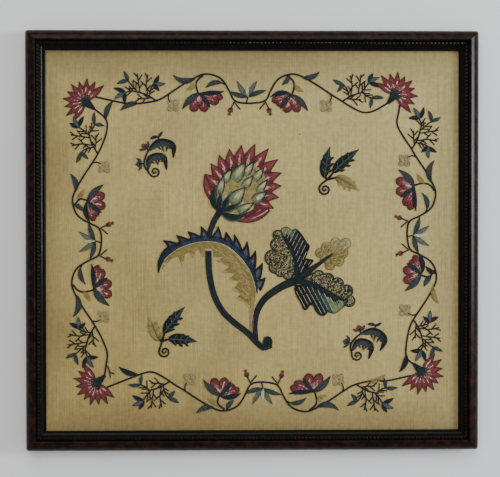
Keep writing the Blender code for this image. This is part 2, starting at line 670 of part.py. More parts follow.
class Ground:
    """A square grid over the linen on which outlines become distances."""

    def __init__(self):
        self.x = np.arange(-VIEW_X - 1, VIEW_X + 1 + GRID_STEP, GRID_STEP)
        self.y = np.arange(-VIEW_Y - 1, VIEW_Y + 1 + GRID_STEP, GRID_STEP)

    def window(self, points, margin):
        low = points.min(axis=0) - margin
        high = points.max(axis=0) + margin
        columns = slice(*np.searchsorted(self.x, (low[0], high[0])))
        rows = slice(*np.searchsorted(self.y, (low[1], high[1])))
        return rows, columns, *np.meshgrid(self.x[columns], self.y[rows])

    def distances(self, drawing):
        """Signed distance to the union of a drawing's shapes, rounded where they meet."""
        field = np.full((len(self.y), len(self.x)), FAR)
        for line, radii in drawing.stems:
            rows, columns, gx, gy = self.window(line, FIELD_MARGIN + max(radii))
            merge(field[rows, columns], ribbon(gx, gy, line, radii))
        for outline in drawing.outlines:
            rows, columns, gx, gy = self.window(outline, FIELD_MARGIN)
            merge(field[rows, columns], polygon(gx, gy, outline))
        return field


def merge(field, near):
    """Take the nearer of two distances, with a small fillet where they meet."""
    mix = np.clip(0.5 + 0.5 * (field - near) / BLEND, 0.0, 1.0)
    field[:] = field + (near - field) * mix - BLEND * mix * (1 - mix)


def ribbon(gx, gy, line, radii):
    """Distance to a whole stem."""
    near = np.full(gx.shape, FAR)
    for index in range(len(line) - 1):
        near = np.minimum(near, capsule(gx, gy, line[index:index + 2], radii[index:index + 2]))
    return near


def capsule(gx, gy, ends, radii):
    """Distance to a straight piece of stem whose radius changes evenly."""
    (ax, ay), (bx, by) = ends
    dx, dy = bx - ax, by - ay
    t = np.clip(((gx - ax) * dx + (gy - ay) * dy) / max(dx * dx + dy * dy, 1e-9), 0.0, 1.0)
    return np.hypot(gx - ax - t * dx, gy - ay - t * dy) - (radii[0] + t * (radii[1] - radii[0]))


def polygon(gx, gy, outline):
    """Distance to a closed outline, negative inside it."""
    near = np.full(gx.shape, np.inf)
    inside = np.zeros(gx.shape, dtype=bool)
    for (ax, ay), (bx, by) in zip(outline, np.roll(outline, -1, axis=0)):
        near = np.minimum(near, capsule(gx, gy, ((ax, ay), (bx, by)), (0.0, 0.0)))
        crosses = (ay > gy) != (by > gy)
        inside ^= crosses & (gx < (bx - ax) * (gy - ay) / (by - ay + 1e-12 * (by == ay)) + ax)
    return np.where(inside, -near, near)


# Which edges of a grid cell (0 bottom, 1 right, 2 top, 3 left) an outline enters and leaves by,
# from which of its corners lie inside; each pair keeps the inside on its left
CELL_PAIRS = {
    1: ((0, 3),), 2: ((1, 0),), 3: ((1, 3),), 4: ((2, 1),), 5: ((0, 3), (2, 1)), 6: ((2, 0),), 7: ((2, 3),),
    8: ((3, 2),), 9: ((0, 2),), 10: ((1, 0), (3, 2)), 11: ((1, 2),), 12: ((3, 1),), 13: ((0, 1),),
    14: ((3, 0),),
}


def contours(ground, field):
    """Closed lines where the field is zero, with the inside on their left."""
    inside = field < 0
    code = inside[:-1, :-1] * 1 + inside[:-1, 1:] * 2 + inside[1:, 1:] * 4 + inside[1:, :-1] * 8
    following = {}
    for row, column in zip(*np.nonzero((code > 0) & (code < 15))):
        edges = ((row, column, 0), (row, column + 1, 1), (row + 1, column, 0), (row, column, 1))
        for start, end in CELL_PAIRS[int(code[row, column])]:
            following[edges[start]] = edges[end]
    loops = []
    while following:
        first, here = following.popitem()
        keys = [first]
        while here != first:
            keys.append(here)
            here = following.pop(here)
        loops.append(np.array([edge_point(ground, field, key) for key in keys]))
    return loops


def edge_point(ground, field, key):
    """Where the zero line crosses one edge of the grid."""
    row, column, upright = key
    other = (row + 1, column) if upright else (row, column + 1)
    a, b = field[row, column], field[other]
    t = min(max(a / (a - b), 0.02), 0.98)
    if upright:
        return ground.x[column], ground.y[row] + t * GRID_STEP
    return ground.x[column] + t * GRID_STEP, ground.y[row]


def loop_area(loop):
    following = np.roll(loop, -1, axis=0)
    return float(np.sum(loop[:, 0] * following[:, 1] - loop[:, 1] * following[:, 0])) / 2


def thinned(loop, tolerance):
    """The loop with only the points that its shape needs."""
    far = int(np.argmax(np.linalg.norm(loop - loop[0], axis=1)))
    keep = {0, far}
    waiting = [(0, far), (far, len(loop))]
    closed = np.vstack([loop, loop[:1]])
    while waiting:
        start, end = waiting.pop()
        if end - start < 2:
            continue
        a, b = closed[start], closed[end]
        chord = b - a
        length = max(np.linalg.norm(chord), 1e-9)
        between = closed[start + 1:end] - a
        off = np.abs(chord[0] * between[:, 1] - chord[1] * between[:, 0]) / length
        worst = int(np.argmax(off))
        if off[worst] > tolerance:
            middle = start + 1 + worst
            keep.add(middle)
            waiting += [(start, middle), (middle, end)]
    return loop[sorted(keep)]


def body_outline(ground, field):
    """The outer loop of the largest body and the holes inside it, outer loop first.

    The outlines are thinned as far as they stay clear of each other: the triangles that
    fill them then cover exactly the area that the loops enclose.
    """
    loops = contours(ground, field)
    outer = max(loops, key=loop_area)
    holes = [loop for loop in loops if loop_area(loop) < -SMALLEST_HOLE and encloses(outer, loop[0])]
    for tolerance in OUTLINE_TOLERANCES:
        thin = [thinned(loop, tolerance) for loop in (outer, *holes)]
        enclosed = sum(loop_area(loop) for loop in thin)
        flat = np.vstack(thin)
        covered = sum(abs(loop_area(flat[list(triangle)])) for triangle in triangles(thin))
        if abs(enclosed - covered) < AREA_SLACK:
            break
    return thin


def triangles(loops):
    return tessellate_polygon([[(*point, 0.0) for point in loop] for loop in loops])


def encloses(outline, point):
    gx, gy = np.array([[point[0]]]), np.array([[point[1]]])
    return polygon(gx, gy, outline)[0, 0] < 0


def slab(name, loops, bottom, thickness, material):
    """A flat solid of one outline and its holes."""
    flat = np.vstack(loops)
    count = len(flat)
    vertices = np.vstack([np.column_stack([flat, np.full(count, height)])
                          for height in (bottom, bottom + thickness)])
    faces = []
    for triangle in triangles(loops):
        a, b, c = (flat[index] for index in triangle)
        if (b[0] - a[0]) * (c[1] - a[1]) < (b[1] - a[1]) * (c[0] - a[0]):
            triangle = triangle[::-1]
        faces.append(tuple(index + count for index in triangle))
        faces.append(tuple(reversed(triangle)))
    start = 0
    for loop in loops:
        for index in range(len(loop)):
            a, b = start + index, start + (index + 1) % len(loop)
            faces.append((a, b, b + count, a + count))
        start += len(loop)
    return make_object(name, vertices, faces, material)


def embroidery(materials):
    """Cut each motif clear of the ones before it and raise it from the linen."""
    ground = Ground()
    taken = np.full((len(ground.y), len(ground.x)), FAR)
    for name, wool, drawing in all_motifs():
        field = np.maximum(ground.distances(drawing), CLEARANCE - taken)
        taken = np.minimum(taken, field)
        slab(name, body_outline(ground, field), WOOL_BOTTOM, WOOL_THICK, materials[wool])


def rail_profile():
    """Section of the outer rail, a rounded cushion, from its outer edge inwards and up."""
    inner = RAIL_BAND - FIT_GAP
    return ((0.0, 0.0), (inner, 0.0), (inner, 17.2), (10.5, 18.7), (8.6, 19.7), (6.5, FRAME_DEPTH),
            (4.4, 19.3), (2.4, 17.5), (0.9, 15.0), (0.0, 12.5))


def moulding_profile():
    """Section of the dark sight moulding: ripple strip, slope, bead and lip."""
    foot = REBATE_FROM_EDGE - FIT_GAP
    return ((RAIL_BAND, 0.0), (foot, 0.0), (foot, LIP_BOTTOM), (RAIL_FACE, LIP_BOTTOM), (RAIL_FACE, 12.3),
            (20.6, 12.6), (20.4, 13.6), (19.8, 14.1), (19.2, 13.6), (18.4, 14.1), (17.0, 15.2),
            (15.4, 16.7), (13.8, 17.6), (RAIL_BAND, 17.3))


def mitred_rail(name, profile, length, across_half, degrees, material):
    """A section run along one side of the frame with a 45 degree mitre at each end."""
    count = len(profile)
    vertices = []
    for hand in (-1, 1):
        for inward, height in profile:
            vertices.append((hand * (length / 2 - inward - FIT_GAP / 2), -across_half + inward, height))
    c, s = direction(degrees)
    vertices = [(x * c - y * s, x * s + y * c, z) for x, y, z in vertices]
    faces = [tuple(reversed(range(count))), tuple(range(count, 2 * count))]
    for index in range(count):
        after = (index + 1) % count
        faces.append((index, after, after + count, index + count))
    return make_object(name, vertices, faces, material)


def plate(name, width, height, bottom, thickness, material):
    corners = np.array([(-width, -height), (width, -height), (width, height), (-width, height)]) / 2
    return slab(name, [corners], bottom, thickness, material)


def frame(materials):
    """Four lacquered rails and four sight mouldings."""
    for side, degrees in (("bottom", 0.0), ("right", 90.0), ("top", 180.0), ("left", 270.0)):
        flat_side = side in ("bottom", "top")
        length, other = (FRAME_WIDTH, FRAME_HEIGHT) if flat_side else (FRAME_HEIGHT, FRAME_WIDTH)
        mitred_rail(f"rail_{side}", rail_profile(), length, other / 2, degrees, materials["lacquer"])
        mitred_rail(f"moulding_{side}", moulding_profile(), length, other / 2, degrees, materials["ebonised"])


def ground_and_board(materials):
    """The stretched linen and the board behind it, both held in the frame's rebate."""
    width = FRAME_WIDTH - 2 * REBATE_FROM_EDGE
    height = FRAME_HEIGHT - 2 * REBATE_FROM_EDGE
    plate("linen", width, height, LINEN_TOP - LINEN_THICK, LINEN_THICK, materials["linen"])
    board_bottom = LINEN_TOP - LINEN_THICK - FIT_GAP - BOARD_THICK
    plate("back_board", width, height, board_bottom, BOARD_THICK, materials["board"])


def build():
    for old in list(bpy.data.objects):
        bpy.data.objects.remove(old, do_unlink=True)
    materials = {name: make_material(name, colour, WOOL_ROUGHNESS) for name, colour in WOOL_COLOURS.items()}
    for name, (colour, roughness) in PLAIN_MATERIALS.items():
        materials[name] = make_material(name, colour, roughness)
    frame(materials)
    ground_and_board(materials)
    embroidery(materials)


build()
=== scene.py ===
# %% [markdown]
# # A framed crewel embroidery panel
# Crewel work is wool thread stitched on linen. From across a room it reads as flat patches of
# colour, but up close each patch is rows of separate stitches that catch the light. A painted
# texture would lose that, so every stitch here is a small closed body of its own, worked out
# with numpy and gathered into one mesh for each embroidered motif.

import math
from collections import namedtuple

import bpy
import numpy as np
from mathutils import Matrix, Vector


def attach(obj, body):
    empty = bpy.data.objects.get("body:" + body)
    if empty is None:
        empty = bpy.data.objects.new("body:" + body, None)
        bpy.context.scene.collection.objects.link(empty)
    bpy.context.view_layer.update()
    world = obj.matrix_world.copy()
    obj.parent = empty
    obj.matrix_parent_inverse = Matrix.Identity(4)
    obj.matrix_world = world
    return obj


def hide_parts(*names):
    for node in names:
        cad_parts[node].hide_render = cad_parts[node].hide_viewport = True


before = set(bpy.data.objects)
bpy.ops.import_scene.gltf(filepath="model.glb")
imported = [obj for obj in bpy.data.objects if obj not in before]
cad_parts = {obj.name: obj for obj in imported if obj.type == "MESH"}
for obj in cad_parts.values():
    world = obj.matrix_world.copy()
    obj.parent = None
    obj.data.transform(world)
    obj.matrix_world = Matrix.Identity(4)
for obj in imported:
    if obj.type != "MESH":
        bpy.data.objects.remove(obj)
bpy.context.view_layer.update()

# %% [markdown]
# The panel lies on its back, so its face looks up and millimetres on the linen are plain x and
# y. Everything below is worked out in those millimetres. The random numbers come from one
# seeded source: hand work is uneven, but it has to be the same unevenness on every run.

# %% Sizes shared by all the pieces
MM = 0.001
RANDOM = np.random.default_rng(1720)
PANEL_WIDTH = 480.0
PANEL_HEIGHT = 445.0
LINEN_TOP = 10.7
LINEN_BOTTOM = 9.5
LINEN_WIDTH = 450.8
LINEN_HEIGHT = 415.8
THREAD_MIDDLE = 0.34
VINE_WIDTH = 1.7
TWIG_WIDTH = 1.3
CORNER_ROUND = 3.0
CORNER_ZONE, CORNER_STATIONS = 5.0, 9
MITRE_GAP = 0.15
SHARP_DEGREES = 38.0
SIDES = ("bottom", "right", "top", "left")
print("linen, mm:", LINEN_WIDTH, LINEN_HEIGHT)

# %% [markdown]
# ## Camera and light
# The photograph looks almost straight at the face from about 1.2 m, with a lens of about 25
# degrees. The light comes from a window high on the right: it draws one bright line along the
# right rail's outer slope. A narrow lamp stands in for it, and a wide lamp beyond the top rail
# and a pale world fill the shadows.

# %% Camera
LENS_DEGREES = 25.0
camera_data = bpy.data.cameras.new("camera")
camera_data.angle = math.radians(LENS_DEGREES)
camera_data.clip_start = 0.01
camera = bpy.data.objects.new("camera", camera_data)
camera.location = (-0.02545, 0.01649, 1.20559)
camera.rotation_euler = (-0.01178, -0.01881, -0.00065)
bpy.context.scene.collection.objects.link(camera)
bpy.context.scene.camera = camera
print("camera height, m:", round(camera.location.z, 3))


# %% Lamps and world
def area_lamp(name, place, size, power, colour):
    """A rectangular lamp that points at the middle of the panel."""
    data = bpy.data.lights.new(name, "AREA")
    data.shape = "RECTANGLE"
    data.size, data.size_y = size
    data.energy = power
    data.color = colour
    lamp = bpy.data.objects.new(name, data)
    lamp.location = place
    lamp.rotation_euler = (-Vector(place)).to_track_quat("-Z", "Y").to_euler()
    bpy.context.scene.collection.objects.link(lamp)


area_lamp("window", (2.05, 0.25, 1.05), (0.72, 0.24), 35.0, (0.88, 0.95, 1.0))
area_lamp("overhead", (-0.3, 2.4, 2.3), (2.6, 2.0), 48.0, (1.0, 0.98, 0.95))
world = bpy.data.worlds.new("room")
world.use_nodes = True
background = world.node_tree.nodes["Background"].inputs
background["Color"].default_value = (0.90, 0.89, 0.88, 1.0)
background["Strength"].default_value = 0.62
bpy.context.scene.world = world


# %% [markdown]
# ## Materials
# A node tree is easier to read as a list of sentences than as a tangle of wires, so one small
# helper adds a node, sets its options and joins its inputs. Effects that several finishes share
# are node groups: the twist of plied wool, a plain weave, slubs in hand-spun yarn, and mottling.

# %% Helpers for node trees
def linear(red, green, blue):
    """Screen colour from 0 to 255 as linear light: a power of 2.4 above a short straight toe."""
    value = np.array([red, green, blue]) / 255.0
    return np.where(value <= 0.04045, value / 12.92, ((value + 0.055) / 1.055) ** 2.4)


def add(tree, kind, sockets=None, **options):
    """Adds a node; sockets joins or sets its inputs by name or number."""
    made = tree.nodes.new(kind)
    for option, value in options.items():
        setattr(made, option, value)
    for key, value in (sockets or {}).items():
        if isinstance(value, bpy.types.NodeSocket):
            tree.links.new(value, made.inputs[key])
        else:
            made.inputs[key].default_value = value
    return made


def blend(tree, factor, first, second, mode="MIX"):
    """Mixes two colours, sockets or linear triples, by a factor; returns the colour socket."""
    first, second = (colour if isinstance(colour, bpy.types.NodeSocket) else (*colour, 1.0)
                     for colour in (first, second))
    mixed = add(tree, "ShaderNodeMix", {0: factor, 6: first, 7: second}, data_type="RGBA", blend_type=mode)
    return mixed.outputs[2]


def toned(tree, colour, tone):
    """The colour times a tone that is the same in red, green and blue."""
    grey = add(tree, "ShaderNodeCombineXYZ", {0: tone, 1: tone, 2: tone}).outputs[0]
    return blend(tree, 1.0, colour, grey, "MULTIPLY")


def noise(tree, vector, scale, detail, **more):
    """A noise's value, from 0 to 1 and mostly near the middle, at the places in vector."""
    sockets = {"Vector": vector, "Scale": scale, "Detail": detail, **more}
    return add(tree, "ShaderNodeTexNoise", sockets).outputs["Fac"]


def spread(tree, value, low, high, to_low, to_high):
    """Maps a value from one range to another, kept inside it."""
    return add(tree, "ShaderNodeMapRange", {
        "Value": value, "From Min": low, "From Max": high, "To Min": to_low, "To Max": to_high,
    }).outputs["Result"]


def sums(tree, operation, first, second):
    """One sum on two values or sockets."""
    return add(tree, "ShaderNodeMath", {0: first, 1: second}, operation=operation).outputs[0]


def group(name, place, numbers, outputs):
    """A node group: its tree, the sockets of its inputs by name, and the node of its outputs."""
    tree = bpy.data.node_groups.new(name, "ShaderNodeTree")
    tree.interface.new_socket(name=place, in_out="INPUT", socket_type="NodeSocketVector")
    for socket, value in numbers.items():
        made = tree.interface.new_socket(name=socket, in_out="INPUT", socket_type="NodeSocketFloat")
        made.default_value = value
    for socket in outputs:
        tree.interface.new_socket(name=socket, in_out="OUTPUT", socket_type="NodeSocketFloat")
    return tree, add(tree, "NodeGroupInput").outputs, add(tree, "NodeGroupOutput")


def join(tree, node, **varied):
    """Joins sockets to the node's inputs of the same names; an underscore stands for a space."""
    for socket, value in varied.items():
        tree.links.new(value, node.inputs[socket.replace("_", " ")])


# %% [markdown]
# Crewel wool is two plies twisted together, so light runs over a thread in slanting ridges.
# The ridges are a sine of (turns around the thread plus millimetres along it), which needs the
# thread's own UV: u goes once round and v is its length.

# %% Group: ply twist
def make_ply_twist():
    """Height = |sin(2 pi (turns round the thread + length along it / twist))|; Shade follows it."""
    tree, inlet, outlet = group("ply twist", "UV", {"Twist": 1.6}, ("Height", "Shade"))
    parts = add(tree, "ShaderNodeSeparateXYZ", {0: inlet["UV"]}).outputs
    around = sums(tree, "MULTIPLY", parts["X"], 2 * math.pi)
    along = sums(tree, "DIVIDE", parts["Y"], inlet["Twist"])
    angle = sums(tree, "ADD", around, sums(tree, "MULTIPLY", along, 2 * math.pi))
    ridge = sums(tree, "ABSOLUTE", sums(tree, "SINE", angle, 0.0), 0.0)
    join(tree, outlet, Height=ridge, Shade=spread(tree, ridge, 0.0, 0.6, 0.72, 1.0))
    return tree


PLY_TWIST = make_ply_twist()


# %% [markdown]
# Linen is a plain weave: warp goes over weft and then under it, like a chessboard. Two sine
# waves, one for each yarn direction, with the chessboard choosing which is on top, give that.
# Hand-spun flax also has slubs, thick places that show as faint streaks along each yarn.

# %% Groups: plain weave and slubs
def make_weave():
    """Height = warp ridge where the product of the two sines is positive, else weft ridge."""
    tree, inlet, outlet = group("plain weave", "Vector", {"Pitch": 0.0007}, ("Height",))
    parts = add(tree, "ShaderNodeSeparateXYZ", {0: inlet["Vector"]}).outputs
    waves = []
    for axis in ("X", "Y"):
        turns = sums(tree, "DIVIDE", parts[axis], inlet["Pitch"])
        waves.append(sums(tree, "SINE", sums(tree, "MULTIPLY", turns, math.pi), 0.0))
    product = sums(tree, "MULTIPLY", waves[0], waves[1])
    over = spread(tree, product, -0.25, 0.25, 0.0, 1.0)
    ridges = [sums(tree, "ABSOLUTE", wave, 0.0) for wave in waves]
    first = sums(tree, "MULTIPLY", ridges[0], over)
    second = sums(tree, "MULTIPLY", ridges[1], sums(tree, "SUBTRACT", 1.0, over))
    join(tree, outlet, Height=sums(tree, "ADD", first, second))
    return tree


def make_slubs():
    """Warp = noise squeezed some sixty times along x; Weft = noise squeezed so along y."""
    tree, inlet, outlet = group("slubs", "Vector", {"Scale": 1.0}, ("Warp", "Weft"))
    for name, stretch in (("Warp", (980.0, 16.0, 1.0)), ("Weft", (15.0, 1250.0, 1.0))):
        mapped = add(tree, "ShaderNodeMapping", {"Vector": inlet["Vector"], "Scale": stretch}).outputs[0]
        join(tree, outlet, **{name: noise(tree, mapped, inlet["Scale"], 3.0, Roughness=0.6)})
    return tree


WEAVE, SLUBS = make_weave(), make_slubs()


# %% [markdown]
# Old lacquer and stained wood are never one even colour. A mottle group gives soft patches at
# two sizes, and a wear group turns an edge mask into a broken, ragged one.

# %% Groups: mottle and wear
def make_mottle():
    """Patches = large noise pushed to high contrast; Grain = a fine noise over them."""
    tree, inlet, outlet = group("mottle", "Vector", {"Scale": 100.0}, ("Patches", "Grain"))
    place, scale = inlet["Vector"], inlet["Scale"]
    large = noise(tree, place, scale, 4.0, Roughness=0.62, Distortion=0.8)
    fine = noise(tree, place, sums(tree, "MULTIPLY", scale, 9.0), 3.0)
    join(tree, outlet, Patches=spread(tree, large, 0.46, 0.66, 0.0, 1.0), Grain=fine)
    return tree


def make_wear():
    """Worn where the edge mask x amount, plus a noise, is more than one."""
    tree, inlet, outlet = group("edge wear", "Vector", {"Edge": 0.0, "Amount": 1.0}, ("Mask",))
    broken = noise(tree, inlet["Vector"], 420.0, 5.0)
    edge = sums(tree, "MULTIPLY", inlet["Edge"], inlet["Amount"])
    pushed = sums(tree, "SUBTRACT", sums(tree, "ADD", edge, broken), 1.0)
    join(tree, outlet, Mask=spread(tree, pushed, 0.0, 0.14, 0.0, 1.0))
    return tree


MOTTLE, WEAR = make_mottle(), make_wear()
print("node groups:", sorted(tree.name for tree in bpy.data.node_groups))


# %% Helpers: start a material and fill it
def new_material(name, **fixed):
    """A Principled material, its tree, shader and places; fixed sets sockets that never vary."""
    material = bpy.data.materials.new(name)
    material.use_nodes = True
    tree = material.node_tree
    shader = tree.nodes["Principled BSDF"]
    for socket, value in fixed.items():
        shader.inputs[socket.replace("_", " ")].default_value = value
    return material, tree, shader, add(tree, "ShaderNodeTexCoord").outputs["Object"]


def use(tree, shared, **sockets):
    """Places a shared group in a material, joins its inputs and returns its outputs."""
    return add(tree, "ShaderNodeGroup", sockets, node_tree=shared).outputs


def attribute(tree, name, output="Fac"):
    """What the mesh's own attribute of that name says, as a number or a colour."""
    return add(tree, "ShaderNodeAttribute", attribute_name=name).outputs[output]


def bump(tree, height, strength, distance):
    """The normal tilted by a height."""
    sockets = {"Height": height, "Strength": strength, "Distance": distance}
    return add(tree, "ShaderNodeBump", sockets).outputs["Normal"]


# %% [markdown]
# ### Wool
# One wool finish serves every thread. The dye comes from a colour attribute that the stitcher
# writes, and the material adds what all wool has: uneven dye, shadow between the plies, a dry
# surface and a little fuzz, which the sheen stands for.

# %% Wool
def make_wool():
    """Dye x uneven noise x ply shade; bump = ply twist + 0.7 x fine fibres."""
    material, tree, shader, place = new_material(
        "crewel_wool", Roughness=0.88, Sheen_Weight=0.14, Sheen_Roughness=0.5, Specular_IOR_Level=0.2)
    thread = add(tree, "ShaderNodeUVMap", uv_map="thread").outputs[0]
    twist = use(tree, PLY_TWIST, UV=thread, Twist=2.1)
    uneven = spread(tree, noise(tree, place, 260.0, 4.0), 0.3, 0.7, 0.80, 1.18)
    shade = sums(tree, "MULTIPLY", uneven, twist["Shade"])
    fibre = noise(tree, place, 5200.0, 3.0)
    height = sums(tree, "ADD", twist["Height"], sums(tree, "MULTIPLY", fibre, 0.7))
    join(tree, shader, Base_Color=toned(tree, attribute(tree, "wool", "Color"), shade),
         Normal=bump(tree, height, 0.55, 0.00018))
    return material


WOOL_FINISH = make_wool()


# %% [markdown]
# ### Linen
# The ground is unbleached linen that has yellowed. It is painted a little lighter towards the upper
# right, as light from the window, and duller, greener and darker near the frame, as painted shade
# from the frame. Weave and slubs go into colour and bump both, the weave as painted shade between
# the yarns; one small dark speck sits above the flower.

# %% Linen
LINEN_WARM, LINEN_DULL = linear(186, 165, 101), linear(163, 142, 87)
# Painted light towards the window, and painted shade near the frame.
LINEN_WINDOW_LIGHT, LINEN_FRAME_SHADE = linear(194, 178, 124), linear(126, 109, 72)
WEAVE_PITCH = 0.00075
SPECK = (0.0500, 0.1128, LINEN_TOP * MM)


def make_linen():
    """Tan base mixed by noise, with painted light towards the upper right and painted shade towards
    the rim; streaked by slubs and pressed by the weave, whose hollows are painted darker as shade.
    """
    material, tree, shader, place = new_material("old_linen", Sheen_Weight=0.08, Specular_IOR_Level=0.15)
    parts = add(tree, "ShaderNodeSeparateXYZ", {0: place}).outputs
    weave = use(tree, WEAVE, Vector=place, Pitch=WEAVE_PITCH)["Height"]
    slubs = use(tree, SLUBS, Vector=place, Scale=1.0)
    cloud = noise(tree, place, 12.0, 6.0)
    patch = noise(tree, place, 210.0, 7.0, Roughness=0.78)

    def slanting(share):
        """A tone that grows towards the right and, by a share, towards the top."""
        return sums(tree, "ADD", parts["X"], sums(tree, "MULTIPLY", parts["Y"], share))

    def far(axis, size):
        """Distance from the middle, one at the panel's edge."""
        return sums(tree, "DIVIDE", sums(tree, "ABSOLUTE", parts[axis], 0.0), size * MM / 2)
    colour = blend(tree, spread(tree, cloud, 0.36, 0.64, 0.0, 1.0), LINEN_DULL, LINEN_WARM)
    # Painted light: lighter towards the upper right, where the window's light falls.
    colour = blend(tree, spread(tree, slanting(0.9), -0.28, 0.28, 0.0, 0.8), colour, LINEN_WINDOW_LIGHT)
    # Painted shade from the frame: darker near the rim, less so on the window's side.
    edge = sums(tree, "MAXIMUM", sums(tree, "MULTIPLY", far("X", PANEL_WIDTH), 0.93), far("Y", PANEL_HEIGHT))
    rim = sums(tree, "MULTIPLY", spread(tree, edge, 0.70, 0.92, 0.0, 0.85),
               spread(tree, slanting(0.4), 0.10, 0.25, 1.0, 0.72))
    colour = blend(tree, rim, colour, LINEN_FRAME_SHADE)
    streak = sums(tree, "ADD", slubs["Warp"], sums(tree, "MULTIPLY", slubs["Weft"], 0.45))
    speck = add(tree, "ShaderNodeVectorMath", {0: place, 1: SPECK}, operation="DISTANCE").outputs["Value"]
    tone = spread(tree, streak, 0.48, 0.96, 0.78, 1.20)
    # Tone: stains in patches, painted shade in the weave's hollows between the yarns, and the dark speck.
    for darker in (spread(tree, patch, 0.3, 0.7, 0.80, 1.17), spread(tree, weave, 0.0, 1.0, 0.80, 1.08),
                   spread(tree, speck, 0.0004, 0.0014, 0.35, 1.0)):
        tone = sums(tree, "MULTIPLY", tone, darker)
    height = sums(tree, "ADD", weave, sums(tree, "MULTIPLY", streak, 1.5))
    join(tree, shader, Base_Color=toned(tree, colour, tone),
         Roughness=spread(tree, streak, 0.5, 1.0, 0.96, 0.84), Normal=bump(tree, height, 0.5, 0.00012))
    return material


LINEN_FINISH = make_linen()


# %% [markdown]
# ### Lacquer, ebonised wood and board
# The rails look like dark tortoiseshell: almost black, with red-brown clouds that show where
# light falls through the clear coat. A coat over a rough base does that. The sight moulding is
# black-stained wood with a thin polish, and the board behind is plain sawn softwood.

# %% Lacquer, ebonised wood and board
def mottled(tree, place, scale, amount):
    """The mottle group's outputs, and the wear mask from the piece's own edge attribute;
    on the moulding that mask also carries painted highlight.
    """
    worn = use(tree, WEAR, Vector=place, Edge=attribute(tree, "edge"), Amount=amount)["Mask"]
    return use(tree, MOTTLE, Vector=place, Scale=scale), worn


def make_lacquer():
    """Black-brown, red-brown in the mottle's patches, bare wood where the edge wear says so."""
    material, tree, shader, place = new_material(
        "tortoiseshell_lacquer", Coat_Roughness=0.26, Specular_IOR_Level=0.03)
    cloud, worn = mottled(tree, place, 125.0, 0.62)
    colour = blend(tree, cloud["Patches"], linear(14, 7, 4), linear(52, 24, 14))
    colour = blend(tree, spread(tree, cloud["Grain"], 0.45, 0.75, 0.0, 0.4), colour, linear(27, 14, 9))
    join(tree, shader, Base_Color=blend(tree, worn, colour, linear(116, 86, 62)),
         Roughness=spread(tree, cloud["Grain"], 0.3, 0.7, 0.24, 0.42),
         Coat_Weight=spread(tree, worn, 0.0, 1.0, 0.18, 0.02), Normal=bump(tree, cloud["Grain"], 0.12, 0.0002))
    return material


def make_ebonised():
    """Black-brown stain in two shades, bare wood where the edge mask says so: wear, and painted
    highlight on the bead and ripple crests.
    """
    material, tree, shader, place = new_material(
        "ebonised_wood", Coat_Weight=0.12, Coat_Roughness=0.14, Specular_IOR_Level=0.06)
    cloud, worn = mottled(tree, place, 210.0, 0.5)
    colour = blend(tree, cloud["Patches"], linear(10, 8, 7), linear(24, 17, 14))
    join(tree, shader, Base_Color=blend(tree, worn, colour, linear(112, 96, 82)),
         Roughness=spread(tree, cloud["Grain"], 0.3, 0.7, 0.32, 0.55),
         Normal=bump(tree, cloud["Grain"], 0.2, 0.0002))
    return material


def make_board():
    """Softwood: rings as a wave stretched along the board, with darker patches from the mottle."""
    material, tree, shader, place = new_material("sawn_board", Specular_IOR_Level=0.25)
    grain = add(tree, "ShaderNodeMapping", {"Vector": place, "Scale": (26.0, 3.0, 26.0)}).outputs[0]
    rings = add(tree, "ShaderNodeTexWave", {
        "Vector": grain, "Scale": 1.1, "Distortion": 5.0, "Detail": 4.0, "Detail Scale": 1.6}).outputs["Fac"]
    cloud = use(tree, MOTTLE, Vector=place, Scale=40.0)
    colour = blend(tree, rings, linear(148, 118, 84), linear(124, 95, 64))
    dirt = spread(tree, cloud["Patches"], 0.0, 1.0, 0.0, 0.4)
    join(tree, shader, Base_Color=blend(tree, dirt, colour, linear(84, 64, 46)),
         Roughness=spread(tree, cloud["Grain"], 0.3, 0.7, 0.70, 0.88), Normal=bump(tree, rings, 0.25, 0.0003))
    return material


LACQUER_FINISH, EBONISED_FINISH, BOARD_FINISH = make_lacquer(), make_ebonised(), make_board()
print("finishes:", [finish.name for finish in (LACQUER_FINISH, EBONISED_FINISH, BOARD_FINISH)])


# %% [markdown]
# ## From arrays to a mesh
# Blender takes a whole mesh at once as flat lists of numbers: corners, the corner numbers of
# each face, and where each face starts. That is far quicker than adding faces one by one, and
# it is how all pieces below are made. Each piece then says which CAD node it stands for.

# %% Helper: build and declare a piece
def build_mesh(name, vertices, faces, finish, smooth=True):
    """faces is a list of whole-number arrays; all faces in one array have as many corners."""
    mesh = bpy.data.meshes.new(name)
    vertices = np.asarray(vertices, dtype=np.float32) * MM
    corners = np.concatenate([block.ravel() for block in faces])
    sizes = np.concatenate([np.full(len(block), block.shape[1]) for block in faces])
    mesh.vertices.add(len(vertices))
    mesh.vertices.foreach_set("co", vertices.ravel())
    mesh.loops.add(len(corners))
    mesh.loops.foreach_set("vertex_index", corners.astype(np.int32))
    mesh.polygons.add(len(sizes))
    mesh.polygons.foreach_set("loop_start", np.concatenate([[0], np.cumsum(sizes)[:-1]]).astype(np.int32))
    mesh.update(calc_edges=True)
    mesh.polygons.foreach_set("use_smooth", np.full(len(sizes), smooth))
    mesh.materials.append(finish)
    made = bpy.data.objects.new(name, mesh)
    bpy.context.scene.collection.objects.link(made)
    return made


def stands_for(piece, node):
    """The piece rides on the panel, replaces its CAD node and keeps its material slot."""
    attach(piece, "root")
    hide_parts(node)


# %% [markdown]
# ## The linen
# Cloth stretched over a board is nearly flat, but not quite: it dips a little between the
# threads that pull it. A grid of heights gives that, from a few long sines, and a plain
# underside and a wall close it.

# %% Linen sheet
def linen_height(x, y):
    """Height = a product of two slow sines plus a slanting one, less 0.07, in millimetres."""
    return 0.05 * np.sin(x / 31.0 + 0.6) * np.sin(y / 27.0) + 0.03 * np.sin(x / 13.0 - y / 17.0) - 0.07


